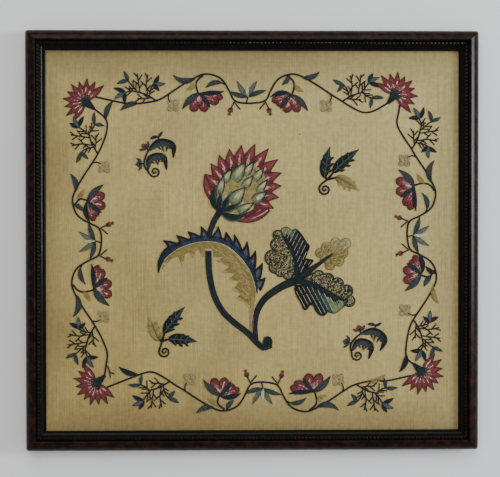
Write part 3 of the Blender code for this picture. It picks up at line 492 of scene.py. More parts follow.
def make_linen_sheet(columns=112, rows=104):
    """Grid of (x, y, height) over its mirror underneath, with a wall round the edge."""
    gx, gy = np.meshgrid(np.linspace(-LINEN_WIDTH / 2, LINEN_WIDTH / 2, columns),
                         np.linspace(-LINEN_HEIGHT / 2, LINEN_HEIGHT / 2, rows))
    top = np.stack([gx, gy, LINEN_TOP + linen_height(gx, gy)], axis=-1).reshape(-1, 3)
    under = np.stack([gx, gy, np.full(gx.shape, LINEN_BOTTOM)], axis=-1).reshape(-1, 3)
    index = np.arange(columns * rows).reshape(rows, columns)
    quads = np.stack([index[:-1, :-1], index[:-1, 1:], index[1:, 1:], index[1:, :-1]], axis=-1).reshape(-1, 4)
    round_edge = np.concatenate([index[0, :-1], index[:-1, -1], index[-1, :0:-1], index[:0:-1, 0]])
    after = np.roll(round_edge, -1)
    shift = columns * rows
    wall = np.stack([round_edge + shift, after + shift, after, round_edge], axis=-1)
    faces = [quads, quads[:, ::-1] + shift, wall]
    sheet = build_mesh("linen_ground", np.vstack([top, under]), faces, LINEN_FINISH)
    stands_for(sheet, "linen")
    return sheet


linen_sheet = make_linen_sheet()
print("linen faces:", len(linen_sheet.data.polygons))

# %% [markdown]
# ## The frame
# Each side of the frame is a straight length cut at 45 degrees. A section carried along a line
# makes it: one array axis is the section, the other the way along. The outer corners are
# rounded off by wear, so plan places within 3 mm of a corner are pulled onto a quarter circle.

# %% Helpers: mitred lengths and smooth lines
def mitred_length(name, section, side, finish, step, edge, lift=None):
    """Place = section point (inward, up) at every station between the two mitres.

    The stations of a section point spread evenly between its own mitre ends. edge gives the
    mask of wear, and on the sight moulding also of painted highlight, from (way to the nearest
    corner, inward, up), and lift adds height as a function of (along, inward, up).
    """
    length, other = (PANEL_WIDTH, PANEL_HEIGHT) if side in ("bottom", "top") else (PANEL_HEIGHT, PANEL_WIDTH)
    ends = length / 2 - section[:, 0] - MITRE_GAP
    middle = np.linspace(-1.0, 1.0, int(length / step))
    close = 1.0 - np.linspace(0.0, CORNER_ZONE, CORNER_STATIONS) / (length / 2)
    share = np.unique(np.concatenate([middle, close, -close]))
    x = share[:, None] * ends[None, :]
    inward, up = (np.broadcast_to(section[:, axis], x.shape) for axis in (0, 1))
    if lift is not None:
        up = up + lift(x, inward, up)
    to_corner = length / 2 - np.abs(x)
    mask = edge(to_corner, inward, up)
    round_off = np.hypot(CORNER_ROUND - inward, CORNER_ROUND - to_corner)
    cut = (inward < CORNER_ROUND) & (to_corner < CORNER_ROUND) & (round_off > CORNER_ROUND)
    pull = np.where(cut, CORNER_ROUND / np.maximum(round_off, 1e-6), 1.0)
    x = np.sign(x) * (length / 2 - CORNER_ROUND + (CORNER_ROUND - to_corner) * pull)
    y = -other / 2 + CORNER_ROUND - (CORNER_ROUND - inward) * pull
    turn = math.pi / 2 * SIDES.index(side)
    c, s = math.cos(turn), math.sin(turn)
    places = np.stack([x * c - y * s, x * s + y * c, up], axis=-1)
    stations, count = x.shape
    index = np.arange(stations * count).reshape(stations, count)
    after = np.roll(index, -1, axis=1)
    walls = np.stack([index[:-1], after[:-1], after[1:], index[1:]], axis=-1).reshape(-1, 4)
    caps = np.stack([index[0, ::-1], index[-1]])
    piece = build_mesh(name, places.reshape(-1, 3), [walls, caps], finish)
    worn = piece.data.attributes.new("edge", "FLOAT", "POINT")
    worn.data.foreach_set("value", mask.ravel().astype(np.float32))
    piece.data.set_sharp_from_angle(angle=math.radians(SHARP_DEGREES))
    return piece


def smooth_line(points, spacing=2.5, count=None):
    """A curve through the points: each place is a cubic mix of the four points around it."""
    points = np.asarray(points, dtype=float)
    knots = np.vstack([2 * points[0] - points[1], points, 2 * points[-1] - points[-2]])
    pieces = []
    for a, b, c, d in zip(knots[:-3], knots[1:-2], knots[2:-1], knots[3:]):
        steps = count or max(2, int(np.linalg.norm(c - b) / spacing) + 1)
        t = np.linspace(0.0, 1.0, steps, endpoint=False)[:, None]
        curve = 2 * b + (c - a) * t + (2 * a - 5 * b + 4 * c - d) * t ** 2
        pieces.append(0.5 * (curve + (3 * b - a - 3 * c + d) * t ** 3))
    return np.vstack([*pieces, points[-1:]])


# %% [markdown]
# The rail is a low cushion, 12 mm wide. The middle of its face slopes evenly, so the window
# draws a single clean line along it. Wear shows at the corners and along the outer arris.

# %% Rails
def rail_section():
    """Back, inner wall and arris, narrow top, even slope of 24 degrees, round fall outwards."""
    return np.array([
        (0.0, 0.0), (11.7, 0.0), (11.7, 17.8), (11.5, 19.2), (11.2, 19.7), (10.8, 19.95), (10.3, 20.0),
        (9.7, 19.9), (9.1, 19.68), (8.5, 19.41), (7.7, 19.05), (6.9, 18.69), (6.3, 18.42), (5.2, 17.75),
        (3.8, 16.6), (2.3, 15.1), (1.0, 13.1), (0.0, 10.5), (0.0, 5.0)])


def rail_wear(to_corner, inward, up):
    """Strong within 4 mm of an outer corner, and light along the outer arris."""
    corner = np.exp(-(to_corner + inward) / 4.0)
    arris = 0.42 * np.exp(-((inward - 0.5) / 0.7) ** 2) * (up > 10.0)
    return np.clip(1.3 * corner + arris, 0.0, 1.0)


for side in SIDES:
    rail = mitred_length(f"lacquered_rail_{side}", rail_section(), side, LACQUER_FINISH, 4.0, rail_wear)
    stands_for(rail, f"rail_{side}")
print("rail section points:", len(rail_section()))


# %% [markdown]
# The sight moulding has a row of ripples next to the cushion, cut by a scraper that rises and
# falls as it is drawn along, then a hollow slope, a thin bead and the lip that holds the cloth.
# The ripple is a cosine of the way along with a pitch of 4 mm, cubed to sharpen its crests and
# strongest at the strip's middle.

# %% Sight moulding
RIPPLE_PITCH = 4.0
RIPPLE_HEIGHT = 0.6
RIPPLE_FROM, RIPPLE_TO = 12.2, 15.6


def moulding_section():
    """Rebate and lip as in the CAD section, then bead, hollow slope and ripple strip."""
    bead = [(20.3 + 0.62 * math.cos(turn), 13.0 + 0.95 * math.sin(turn))
            for turn in np.linspace(-0.2, math.pi + 0.1, 9)]
    slope = smooth_line(((19.3, 13.1), (18.4, 13.5), (17.2, 14.4), (16.1, 15.7), (15.5, 16.7)), count=3)
    strip = [(inward, 17.1 - 0.12 * (inward - 13.8) ** 2) for inward in np.linspace(15.2, 12.0, 7)]
    return np.vstack([[(12.0, 0.0), (14.3, 0.0), (14.3, 11.0), (21.5, 11.0), (21.5, 12.3)], bead, slope, strip])


def ripple(x, inward, up):
    """Lift = the cube of a cosine along the length x a sine bump across the strip."""
    across_strip = np.clip((inward - RIPPLE_FROM) / (RIPPLE_TO - RIPPLE_FROM), 0.0, 1.0)
    wave = np.cos(2 * math.pi * x / RIPPLE_PITCH) ** 3
    return RIPPLE_HEIGHT * np.sin(math.pi * across_strip) * wave * (up > 15.0)


def moulding_wear_and_glint(to_corner, inward, up):
    """Bare wood on the bead and on the crests of the ripple: light wear, and painted highlight
    where they catch the light.
    """
    bead = 0.55 * np.exp(-((inward - 20.3) / 0.5) ** 2) * (up > 13.4)
    # The crests' bare wood is partly wear and partly a painted highlight on the ripple.
    crest = 0.72 * (up > 17.25)
    return np.clip(bead + crest, 0.0, 1.0)


for side in SIDES:
    strip = mitred_length(
        f"ripple_moulding_{side}", moulding_section(), side, EBONISED_FINISH, 0.70, moulding_wear_and_glint, ripple)
    stands_for(strip, f"moulding_{side}")
print("moulding faces:", len(strip.data.polygons))

# %% [markdown]
# The board behind the linen is right as it is in CAD, a thin flat panel, so it only gets its
# finish.

# %% Back board
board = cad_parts["back_board"]
board.data.materials.clear()
board.data.materials.append(BOARD_FINISH)
print("board:", [round(size, 3) for size in board.dimensions])

# %% [markdown]
# ## Thread colours
# A worker keeps a few skeins, each dyed in one bath, and shades by changing skein. The table
# names them as a worker might. Colours are given as they look on a screen and turned to
# linear light.

# %% Skeins
SKEINS = {
    "ink": linear(20, 20, 24), "dark": linear(30, 31, 36), "navy": linear(24, 30, 48),
    "blue": linear(38, 53, 74), "sky": linear(82, 92, 102), "slate": linear(58, 67, 68),
    "grey": linear(98, 106, 98), "teal": linear(32, 50, 52), "deep": linear(18, 34, 38),
    "sea": linear(66, 88, 80), "leaf": linear(122, 134, 96), "moss": linear(64, 70, 46),
    "ochre": linear(148, 130, 74), "gold": linear(166, 148, 92), "olive": linear(104, 94, 50),
    "straw": linear(186, 168, 112), "cream": linear(200, 194, 152), "white": linear(222, 214, 196),
    "faded": linear(156, 140, 92), "beige": linear(160, 148, 108), "pink": linear(196, 140, 130),
    "blush": linear(206, 172, 158), "rose": linear(140, 68, 72), "red": linear(113, 46, 50),
    "madder": linear(70, 30, 32),
}
print("skeins:", len(SKEINS))

# %% [markdown]
# ## Stitches
# A stitch is a short soft rod: four rings of four points, small where it dives into the linen
# and full between. A French knot is a low ring with a dimple. Each has fewer than twenty
# faces, because there are many thousands of them. The stitcher collects starts, ends, widths and
# colours as arrays and turns them all into one mesh at the end.

# %% Helpers: lines and strips to fill
def direction(degrees):
    """Cosine and sine of angles in degrees, as ways of length one."""
    turn = np.radians(degrees)
    return np.stack([np.cos(turn), np.sin(turn)], axis=-1)


def angle_of(way):
    """The angle of a way, in degrees from +x."""
    return math.degrees(math.atan2(way[1], way[0]))


def left_of(way):
    """The same ways turned by a right angle to the left."""
    return np.stack([-way[..., 1], way[..., 0]], axis=-1)


def across(line):
    """Unit normals of a line, to its left."""
    along = np.gradient(line, axis=0)
    return left_of(along / np.linalg.norm(along, axis=1)[:, None])


class Strip:
    """A ribbon to fill, given by its middle line and half widths; q runs from -1 to 1 across it."""

    def __init__(self, spine, half):
        self.spine = np.asarray(spine, dtype=float)
        self.half = np.broadcast_to(np.asarray(half, dtype=float), len(self.spine))
        steps = np.linalg.norm(np.diff(self.spine, axis=0), axis=1)
        self.length = float(steps.sum())
        self.shares = np.concatenate([[0.0], np.cumsum(steps)]) / self.length
        self.normal = across(self.spine)

    def read(self, share, values):
        """Values given along the spine, read at a share of its length."""
        return np.interp(np.clip(share, 0.0, 1.0), self.shares, values)

    def at(self, share, q):
        """Place = spine + normal x half width x q, at a share of the length."""
        reach = self.read(share, self.half) * q
        return np.stack([self.read(share, self.spine[:, axis]) + self.read(share, self.normal[:, axis]) * reach
                         for axis in (0, 1)], axis=-1)


def blade(root, tip, half_width, bend=0.0, belly=0.45, root_width=0.0, count=25):
    """A leaf or petal: half width = a sine skewed towards belly, on a spine bowed by bend."""
    root, tip = np.asarray(root, dtype=float), np.asarray(tip, dtype=float)
    t = np.linspace(0.0, 1.0, count)[:, None]
    chord = tip - root
    spine = root + chord * t + left_of(chord) * bend * 4 * t * (1 - t)
    swell = np.sin(math.pi * t ** (math.log(0.5) / math.log(belly)))
    half = half_width * np.maximum(swell * (1 - root_width) + root_width * (1 - t), 0.0)
    return Strip(spine, half[:, 0])


def disc(centre, radius, heading, count=15):
    """A round patch, its half width the root of radius squared less distance squared."""
    centre = np.asarray(centre, dtype=float)
    t = np.cos(np.linspace(math.pi, 0.0, count))
    half = radius * np.sqrt(np.maximum(1.0 - t ** 2, 0.0))
    return Strip(centre + direction(heading) * radius * t[:, None], half)


def stem(points, width, end_width=None, spacing=2.0):
    """A stem through the points, its width running evenly to end_width."""
    line = smooth_line(points, spacing)
    return Strip(line, np.linspace(width, width if end_width is None else end_width, len(line)) / 2)


# %% Helpers: thread colour along a stitch row
def ramp(*stops):
    """Colour by share along a strip, between (share, skein) stops, with a ragged change."""
    shares = [share for share, _ in stops]
    table = np.array([SKEINS[skein] for _, skein in stops])

    def colour(share, q):
        ragged = share + RANDOM.normal(0.0, 0.05, np.shape(share))
        return np.stack([np.interp(ragged, shares, table[:, channel]) for channel in range(3)], axis=-1)
    return colour


def edged(inner, skein, start=0.62, hands=(-1, 1)):
    """The inner colour, with another skein beyond start on the sides in hands."""
    def colour(share, q):
        outer = np.zeros(np.shape(q), dtype=bool)
        for hand in hands:
            outer |= q * hand > start
        return np.where(outer[..., None], SKEINS[skein], inner(share, q))
    return colour


def streaked(inner, skein, share_to, half=0.4, share_from=0.0):
    """The inner colour, with a wedge of another skein down the middle near the root.

    Wedge: |q| < half x (1.25 - share / share_to), from share_from to a ragged share_to.
    """
    def colour(share, q):
        ragged = share + RANDOM.normal(0.0, 0.05, np.shape(share))
        streak = (np.abs(q) < half * (1.25 - ragged / share_to)) & (ragged > share_from) & (ragged < share_to)
        return np.where(streak[..., None], SKEINS[skein], inner(share, q))
    return colour


def plain(*skeins):
    """One skein, or a mix of several taken stitch by stitch, on a strip or in a filled shape."""
    table = np.array([SKEINS[skein] for skein in skeins])
    return lambda places, q=None: table[RANDOM.integers(0, len(table), len(places))]


# %% The stitcher
RING_SHARE = np.array([0.0, 0.16, 0.84, 1.0])
RING_SIZE = np.array([0.5, 1.0, 1.0, 0.5])
RING_LIFT = np.array([-0.42, 0.10, 0.10, -0.42])
SIDES_ROUND = 4
KNOT_RADIUS = np.array([0.62, 1.0, 0.78, 0.26])
KNOT_HEIGHT = np.array([-0.35, 0.05, 0.50, 0.36])
KNOT_SIDES = 5
# millimetres: lap on the next stitch, shortest stitch kept, thinnest and thickest wool
LAP, SHORTEST, THINNEST, THICKEST = 0.45, 0.7, 0.34, 1.05
# wool's width over the space between rows, because it swells and closes the gap
FULLNESS = 1.3
STEM_STEP, STEM_REACH = 0.62, 1.6
DYE_UNEVEN, KNOT_UNEVEN, HEIGHT_UNEVEN = 0.09, 0.1, 0.06
BOW = 0.012
FLATTENED = 0.85


def uneven(colour, count, much):
    """One colour for each stitch, made a little lighter or darker at random."""
    colour = np.broadcast_to(np.asarray(colour, dtype=float).reshape(-1, 3), (count, 3))
    return np.clip(colour * (1.0 + RANDOM.normal(0.0, much, (count, 1))), 0.0, 1.0)


class Work:
    """All stitches and knots of one embroidered motif."""

    def __init__(self, place=lambda points: points):
        self.place = place
        self.stitches = []
        self.dots = []

    def lay(self, start, end, width, colour, level):
        """Keeps stitches from start to end (millimetres), after placing them on the panel."""
        start, end = (self.place(np.asarray(points, dtype=float).reshape(-1, 2)) for points in (start, end))
        count = len(start)
        if not count:
            return
        colour = uneven(colour, count, DYE_UNEVEN)
        heights = level + RANDOM.uniform(-HEIGHT_UNEVEN, HEIGHT_UNEVEN, count)
        self.stitches.append(np.column_stack([start, end, np.broadcast_to(width, count), heights, colour]))

    def rows(self, strip, colour, spacing=0.72, stitch=6.0, level=0.0):
        """Long and short stitch: rows at even q, each broken at its own places."""
        count = max(1, int(round(strip.half.max() * 2 / spacing)))
        q = -1.0 + 2 * (np.arange(count) + 0.5) / count
        pieces = max(1, int(round(strip.length / stitch)))
        breaks = np.clip((np.arange(pieces + 2)[None, :] - RANDOM.random((count, 1))) / pieces, 0.0, 1.0)
        lap = LAP / strip.length
        keep = (breaks[:, 1:] - breaks[:, :-1]) * strip.length > SHORTEST
        starts, ends = (breaks[:, :-1] - lap)[keep], (breaks[:, 1:] + lap)[keep]
        q = np.broadcast_to(q[:, None], keep.shape)[keep]
        middle = (starts + ends) / 2
        width = np.clip(strip.read(middle, strip.half) * 2 / count * FULLNESS, THINNEST, THICKEST)
        self.lay(strip.at(starts, q), strip.at(ends, q), width, colour(middle, q), level)

    def slanted(self, strip, colour, spacing, lean, level, low=-1.0, high=1.0):
        """Satin stitch: side to side across the strip, its far end lean millimetres ahead."""
        count = max(2, int(round(strip.length / spacing)))
        share = (np.arange(count) + 0.5) / count
        ahead = lean / strip.length / 2
        starts, ends = strip.at(share - ahead, low), strip.at(share + ahead, high)
        self.lay(starts, ends, spacing * FULLNESS, colour(share, np.full(count, (low + high) / 2)), level)

    def fishbone(self, strip, colour, spacing, lean, level):
        """Two slanted banks that meet on the middle line, like the bones of a fish."""
        for hand in (-1.0, 1.0):
            self.slanted(strip, colour, spacing, lean, level, 0.0, hand * 0.97)

    def line(self, points, colour, width=0.9, stitch=3.4, level=0.12):
        """Stem stitch: each stitch starts beside the middle of the one before."""
        strip = Strip(points, width * 0.2)
        count = max(1, int(round(strip.length / (stitch * STEM_STEP))))
        share = np.arange(count) / count
        starts, ends = strip.at(share, -1.0), strip.at(share + 1.0 / count * STEM_REACH, 1.0)
        self.lay(starts, ends, width, colour(share, np.zeros(count)), level)

    def rim(self, strip, colour, width=0.8, hands=(-1, 1), level=0.15, first=0.0, last=1.0):
        """A line of stem stitch just inside the strip's sides."""
        share = np.linspace(first, last, max(4, int(strip.length * (last - first) / 1.5)))
        half = np.maximum(strip.read(share, strip.half), 0.05)
        for hand in hands:
            q = hand * np.clip(1.0 - 0.45 * width / half, 0.0, 1.0)
            self.line(strip.at(share, q), colour, width, level=level)

    def knots(self, centres, radius, colour, level):
        """French knots at the centres, each of its own radius."""
        count = len(centres)
        colour = uneven(colour, count, KNOT_UNEVEN)
        radius = radius * RANDOM.uniform(0.85, 1.15, count)
        self.dots.append(np.column_stack([self.place(centres), radius, np.full(count, level), colour]))


# %% Stitches and knots as faces
def ring_faces(count, sides):
    """Faces of count bodies of four rings each: walls from ring to ring, and a cap at each end."""
    ring = np.arange(sides)
    first = (np.arange(3)[:, None] * sides + ring).ravel()
    second = (np.arange(3)[:, None] * sides + np.roll(ring, -1)).ravel()
    quads = np.stack([first, second, second + sides, first + sides], axis=-1)
    caps = np.stack([ring[::-1], ring + 3 * sides])
    offset = (np.arange(count) * 4 * sides)[:, None, None]
    return [(quads[None] + offset).reshape(-1, 4), (caps[None] + offset).reshape(-1, sides)]


def rods(data):
    """Vertices, faces, UV and colours of all the stitches at once.

    Ring point = start + way along + side x cos(angle) x radius, up by sin(angle) x radius x FLATTENED.
    """
    start, end, width, level, colour = data[:, 0:2], data[:, 2:4], data[:, 4], data[:, 5], data[:, 6:9]
    count = len(data)
    along = end - start
    length = np.linalg.norm(along, axis=1)
    along = along / np.maximum(length, 1e-6)[:, None]
    side = left_of(along)
    bow = np.sin(math.pi * RING_SHARE)[None, :] * (RANDOM.normal(0.0, BOW, count) * length)[:, None]
    middle = start[:, None] + along[:, None] * (length[:, None] * RING_SHARE)[..., None]
    middle = middle + side[:, None] * bow[..., None]
    angle = math.pi / 2 + 2 * math.pi * np.arange(SIDES_ROUND) / SIDES_ROUND
    radius = width[:, None] / 2 * RING_SIZE
    plan = middle[:, :, None] + side[:, None, None] * (radius[..., None] * np.cos(angle))[..., None]
    ground = LINEN_TOP + linen_height(middle[..., 0], middle[..., 1]) + THREAD_MIDDLE + level[:, None]
    height = (ground + RING_LIFT)[..., None] + radius[..., None] * np.sin(angle) * FLATTENED
    vertices = np.concatenate([plan, height[..., None]], axis=-1).reshape(-1, 3)
    ring = np.arange(SIDES_ROUND)
    u = np.stack([ring, ring + 1, ring + 1, ring], axis=-1) / SIDES_ROUND
    u = np.broadcast_to(u, (3, SIDES_ROUND, 4)).reshape(1, -1, 4)
    v_low, v_high = RING_SHARE[:3, None], RING_SHARE[1:, None]
    v = np.stack([v_low, v_low, v_high, v_high], axis=-1) * np.ones((3, SIDES_ROUND, 4))
    uv_quads = np.stack([np.broadcast_to(u, (count, 3 * SIDES_ROUND, 4)),
                         v.reshape(1, -1, 4) * length[:, None, None]], axis=-1)
    uv_caps = np.zeros((count, 2, SIDES_ROUND, 2))
    uv = np.concatenate([uv_quads.reshape(-1, 2), uv_caps.reshape(-1, 2)])
    return vertices, ring_faces(count, SIDES_ROUND), uv, np.repeat(colour, 4 * SIDES_ROUND, axis=0)


def domes(data):
    """The same for French knots: four rings of five, closed above and below."""
    centre, radius, level, colour = data[:, 0:2], data[:, 2], data[:, 3], data[:, 4:7]
    count = len(data)
    angle = 2 * math.pi * np.arange(KNOT_SIDES) / KNOT_SIDES + RANDOM.uniform(0, 1, count)[:, None]
    ring = (radius[:, None] * KNOT_RADIUS)[..., None, None]
    plan = centre[:, None, None] + np.stack([np.cos(angle), np.sin(angle)], axis=-1)[:, None] * ring
    ground = LINEN_TOP + linen_height(centre[:, 0], centre[:, 1]) + THREAD_MIDDLE + level
    height = np.broadcast_to((ground[:, None] + radius[:, None] * KNOT_HEIGHT)[..., None], plan.shape[:-1])
    vertices = np.concatenate([plan, height[..., None]], axis=-1).reshape(-1, 3)
    faces = ring_faces(count, KNOT_SIDES)
    uv = np.zeros((sum(block.size for block in faces), 2))
    return vertices, faces, uv, np.repeat(colour, 4 * KNOT_SIDES, axis=0)


# %% One mesh for a motif
stitched = {}


def finish_work(work, node):
    vertices, faces, uv, colours = rods(np.vstack(work.stitches))
    if work.dots:
        more_vertices, more_faces, more_uv, more_colours = domes(np.vstack(work.dots))
        faces += [block + len(vertices) for block in more_faces]
        vertices, uv = np.vstack([vertices, more_vertices]), np.vstack([uv, more_uv])
        colours = np.vstack([colours, more_colours])
    piece = build_mesh(f"stitched_{node}", vertices, faces, WOOL_FINISH)
    layer = piece.data.uv_layers.new(name="thread")
    layer.data.foreach_set("uv", uv.astype(np.float32).ravel())
    dye = piece.data.color_attributes.new("wool", "FLOAT_COLOR", "POINT")
    rgba = np.column_stack([colours, np.ones(len(colours))]).astype(np.float32)
    dye.data.foreach_set("color", rgba.ravel())
    stands_for(piece, node)
    stitched[node] = sum(len(block) for block in work.stitches)


print("faces of a stitch:", 3 * SIDES_ROUND + 2)


# %% [markdown]
# Some motifs have a ragged outline that no ribbon fits: the ochre lining, the scalloped leaves.
# For those a signed distance says how deep inside the shape a place is. An outline can be a
# list of corners, or come from the CAD solid: an edge of its top that only one top face uses is
# part of the outline, and such loose edges are enough to ask whether a place is inside.

# %% Helpers: outlines from the CAD solids
def outline_edges(node):
    """Starts and ends of a slab's outline, in millimetres, with the inside on the left."""
    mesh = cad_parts[node].data
    places = np.empty(len(mesh.vertices) * 3)
    mesh.vertices.foreach_get("co", places)
    places = np.round(places.reshape(-1, 3) / MM, 3)
    corners = np.empty(len(mesh.loops), dtype=np.int64)
    mesh.loops.foreach_get("vertex_index", corners)
    triangles = places[corners.reshape(-1, 3)]
    top = triangles[(triangles[:, :, 2] > places[:, 2].max() - 0.05).all(axis=1)][:, :, :2]
    starts, ends = top.reshape(-1, 2), np.roll(top, -1, axis=1).reshape(-1, 2)
    keys = np.round(np.hstack([starts, ends]) * 50).astype(np.int64)
    both, counts = np.unique(np.vstack([keys, keys[:, [2, 3, 0, 1]]]), axis=0, return_counts=True)
    shared = {tuple(row) for row in both[counts > 1]}
    lonely = np.array([tuple(row) not in shared for row in keys])
    return starts[lonely], ends[lonely]


def inside(points, edges):
    """True where a ray towards +x crosses the outline an odd number of times."""
    starts, ends = edges
    px, py = points[:, None, 0], points[:, None, 1]
    (ax, ay), (bx, by) = starts.T, ends.T
    crosses = (ay > py) != (by > py)
    rise = np.where(by == ay, 1e-9, by - ay)
    return (crosses & (px < ax + (bx - ax) * (py - ay) / rise)).sum(axis=1) % 2 == 1


def distance(points, edges):
    """Shortest way from each point to the outline: to the nearest place on each edge."""
    starts, ends = edges
    way = ends - starts
    t = ((points[:, None] - starts) * way).sum(axis=-1) / np.maximum((way ** 2).sum(axis=-1), 1e-9)
    foot = starts + way * np.clip(t, 0.0, 1.0)[..., None]
    return np.linalg.norm(points[:, None] - foot, axis=-1).min(axis=1)


def polygon(corners):
    """Starts and ends of a closed outline's edges."""
    corners = np.asarray(corners, dtype=float)
    return corners, np.roll(corners, -1, axis=0)


def depth_of(outlines=(), discs=()):
    """Signed distance to outlines and discs together: the least of all, negative inside."""
    def measure(points):
        least = np.full(len(points), 99.0)
        for outline in outlines:
            away = distance(points, outline)
            least = np.minimum(least, np.where(inside(points, outline), -away, away))
        for x, y, radius in discs:
            least = np.minimum(least, np.hypot(points[:, 0] - x, points[:, 1] - y) - radius)
        return least
    return measure


# millimetres: steps along a row and room round the box, lap and jitter of the stitches' ends
SAMPLE, MARGIN = 0.4, 1.0
ROW_LAP, ROW_JITTER = 0.3, 0.25
OUTER_EDGE = -0.3


def fill_shape(work, measure, box, heading, colour, spacing=0.72, stitch=5.5, inset=0.3, level=0.0, width=None):
    """Straight rows along heading inside box, cut where they leave the shape, then stitches.

    measure is the shape's signed distance, and colour a function of the stitches' middles.
    """
    along, side = direction(heading), direction(heading + 90.0)
    both = np.array([(x, y) for x in box[::2] for y in box[1::2]])
    rows = np.arange((both @ side).min() + spacing / 2, (both @ side).max(), spacing)
    ways = np.arange((both @ along).min() - MARGIN, (both @ along).max() + MARGIN, SAMPLE)
    grid = rows[:, None, None] * side + ways[None, :, None] * along
    held = (measure(grid.reshape(-1, 2)) < -inset).reshape(len(rows), len(ways))
    change = np.diff(held.astype(int), axis=1)
    row_in, way_in = np.nonzero(change > 0)
    way_out = np.nonzero(change < 0)[1]
    long = way_out - way_in > 1
    row_in, begin, finish = row_in[long], ways[way_in[long] + 1], ways[way_out[long]]
    wanted = (finish - begin) / stitch + RANDOM.uniform(-0.4, 0.4, len(begin))
    pieces = np.maximum(1, np.round(wanted)).astype(int)
    which, number = split(pieces)
    jitter = RANDOM.uniform(-ROW_JITTER, ROW_JITTER, len(which) + 1)
    low = np.where(number > 0, number + jitter[:-1], 0.0) / pieces[which]
    high = np.where(number < pieces[which] - 1, number + 1 + jitter[1:], pieces[which]) / pieces[which]
    span = (finish - begin)[which]
    base = rows[row_in[which]][:, None] * side
    start = base + (begin[which] + low * span - ROW_LAP)[:, None] * along
    end = base + (begin[which] + high * span + ROW_LAP)[:, None] * along
    work.lay(start, end, width or spacing * FULLNESS, colour((start + end) / 2), level)


def split(pieces):
    """For runs cut into pieces: the run that each piece belongs to, and its number there."""
    which = np.repeat(np.arange(len(pieces)), pieces)
    return which, np.arange(len(which)) - np.repeat(np.cumsum(pieces) - pieces, pieces)


def line_edges(work, edges, skein, width, inset, level, measure=None, stitch=3.2):
    """Stitches along an outline's edges, moved inset millimetres inwards (to the left).

    With measure, only those on the edge of the whole shape are kept.
    """
    starts, ends = edges
    way = ends - starts
    length = np.linalg.norm(way, axis=1)
    unit = way / np.maximum(length, 1e-6)[:, None]
    inward = left_of(unit) * inset
    pieces = np.maximum(1, np.ceil(length / stitch)).astype(int)
    which, number = split(pieces)
    low, high = number / pieces[which], (number + 1) / pieces[which]
    lap = unit[which] * 0.4
    start = starts[which] + way[which] * low[:, None] - lap
    end = starts[which] + way[which] * high[:, None] + lap
    if measure is not None:
        kept = measure((start + end) / 2) > OUTER_EDGE
        start, end, which = start[kept], end[kept], which[kept]
    work.lay(start + inward[which], end + inward[which], width, SKEINS[skein], level)


def scallops(work, discs, skein, width, inset, level, measure):
    """The same for round lobes: short stitches round each disc where the shape ends there."""
    for x, y, radius in discs:
        count = max(8, int(2 * math.pi * radius / 2.0))
        turn = np.arange(count) * 360.0 / count
        kept = turn[measure(np.array((x, y)) + direction(turn) * radius) > OUTER_EDGE]
        half = 360.0 / count * 0.65
        start, end = (np.array((x, y)) + direction(kept + hand * half) * (radius - inset) for hand in (-1, 1))
        work.lay(start, end, width, SKEINS[skein], level)


print("outline edges of the oval of scales:", len(outline_edges("flower_scales")[0]))

# %% [markdown]
# ## The border
# A vine runs round the field, and each half of a side carries the same things in the same
# order: a bud at the fork, an arch with a tulip hanging from it, a bush of coral twigs, a dip.
# The worker drew each one afresh, so one row of the table gives its own places and kinds. A
# place function turns these half-side millimetres into panel millimetres.

# %% The table of half sides
HalfSide = namedtuple(
    "HalfSide", "side half slide lift dip kind bush_kind hang drop bush dip_leaf dip_skein forked meets")
HALF_SIDES = [HalfSide(*row) for row in (
    ("top", -1, 19.0, 148.0, -3.0, "long", "triples", 38.0, 8.5, 83.0, 101.0, "slate", False, "petals"),
    ("top", 1, 13.0, 148.0, -12.0, "short", "pairs", 28.0, 7.0, 82.0, None, "slate", False, "calyx"),
    ("bottom", -1, 2.0, 152.0, -13.0, "short", "pairs", 33.0, 12.5, 86.0, 120.0, "navy", False, "petals"),
    ("bottom", 1, 26.0, 153.0, -4.5, "long", "pairs", 39.0, 8.0, 84.0, 95.0, "ochre", False, "petals"),
    ("left", -1, 15.0, 145.0, -9.0, "long", "triples", 36.0, 6.0, 75.0, None, "slate", True, "calyx"),
    ("left", 1, 13.0, 144.0, -8.0, "short", "pairs", 29.0, 13.0, 79.0, 115.0, "slate", False, "calyx"),
    ("right", -1, 9.0, 149.0, -4.0, "short", "triples", 27.0, 12.0, 75.0, 111.0, "navy", False, "calyx"),
    ("right", 1, 20.0, 148.0, -13.0, "long", "triples", 38.0, 6.0, 77.0, None, "slate", False, "petals"),
)]
SIDE_SHIFT = 18.0
SIDE_MIDDLES = {"top": -5.0, "bottom": 11.0, "left": 0.0, "right": 6.0}
# angle, length, half width, skein
MIDDLE_LEAVES = ((163, 21, 2.7, "slate"), (124, 21, 2.6, "grey"), (91, 13, 2.0, "cream"),
                 (60, 20, 2.6, "grey"), (20, 21, 2.7, "slate"))
# middle of each corner flower, and the angle it faces
CORNERS = {
    ("top", -1): (-177.0, 147.5, 140.0), ("top", 1): (151.5, 155.5, 50.0),
    ("bottom", -1): (-166.0, -151.0, -138.0), ("bottom", 1): (180.0, -140.0, -45.0),
}
VINE_RUN = (0.0, 5.0, 12.0, 20.0, 31.0, 41.0, 55.0, 70.0, 80.0, 91.0, 104.0, 116.0)
VINE_RISE = (0.0, 9.0, 21.0, 26.5, 28.5, 25.0, 17.0, 7.0, 1.0)
DIP_SHARE = (0.5, 1.0, 0.85)
print("half sides:", len(HALF_SIDES))


# %% Places on a side
def side_place(side, half, origin=(0.0, 0.0)):
    """(along the side, out from the middle) from origin, as places on the panel."""
    def place(points):
        along, out = half * (points[:, 0] + origin[0]), points[:, 1] + origin[1]
        if side == "top":
            return np.stack([along, out], axis=1)
        if side == "bottom":
            return np.stack([along, -out], axis=1)
        out = out + SIDE_SHIFT
        return np.stack([out if side == "right" else -out, along], axis=1)
    return place


def vine_rise(row):
    """The vine's distance out at each of VINE_RUN's places: an arch, then the row's own dip."""
    return np.array(VINE_RISE + tuple(row.dip * share for share in DIP_SHARE))


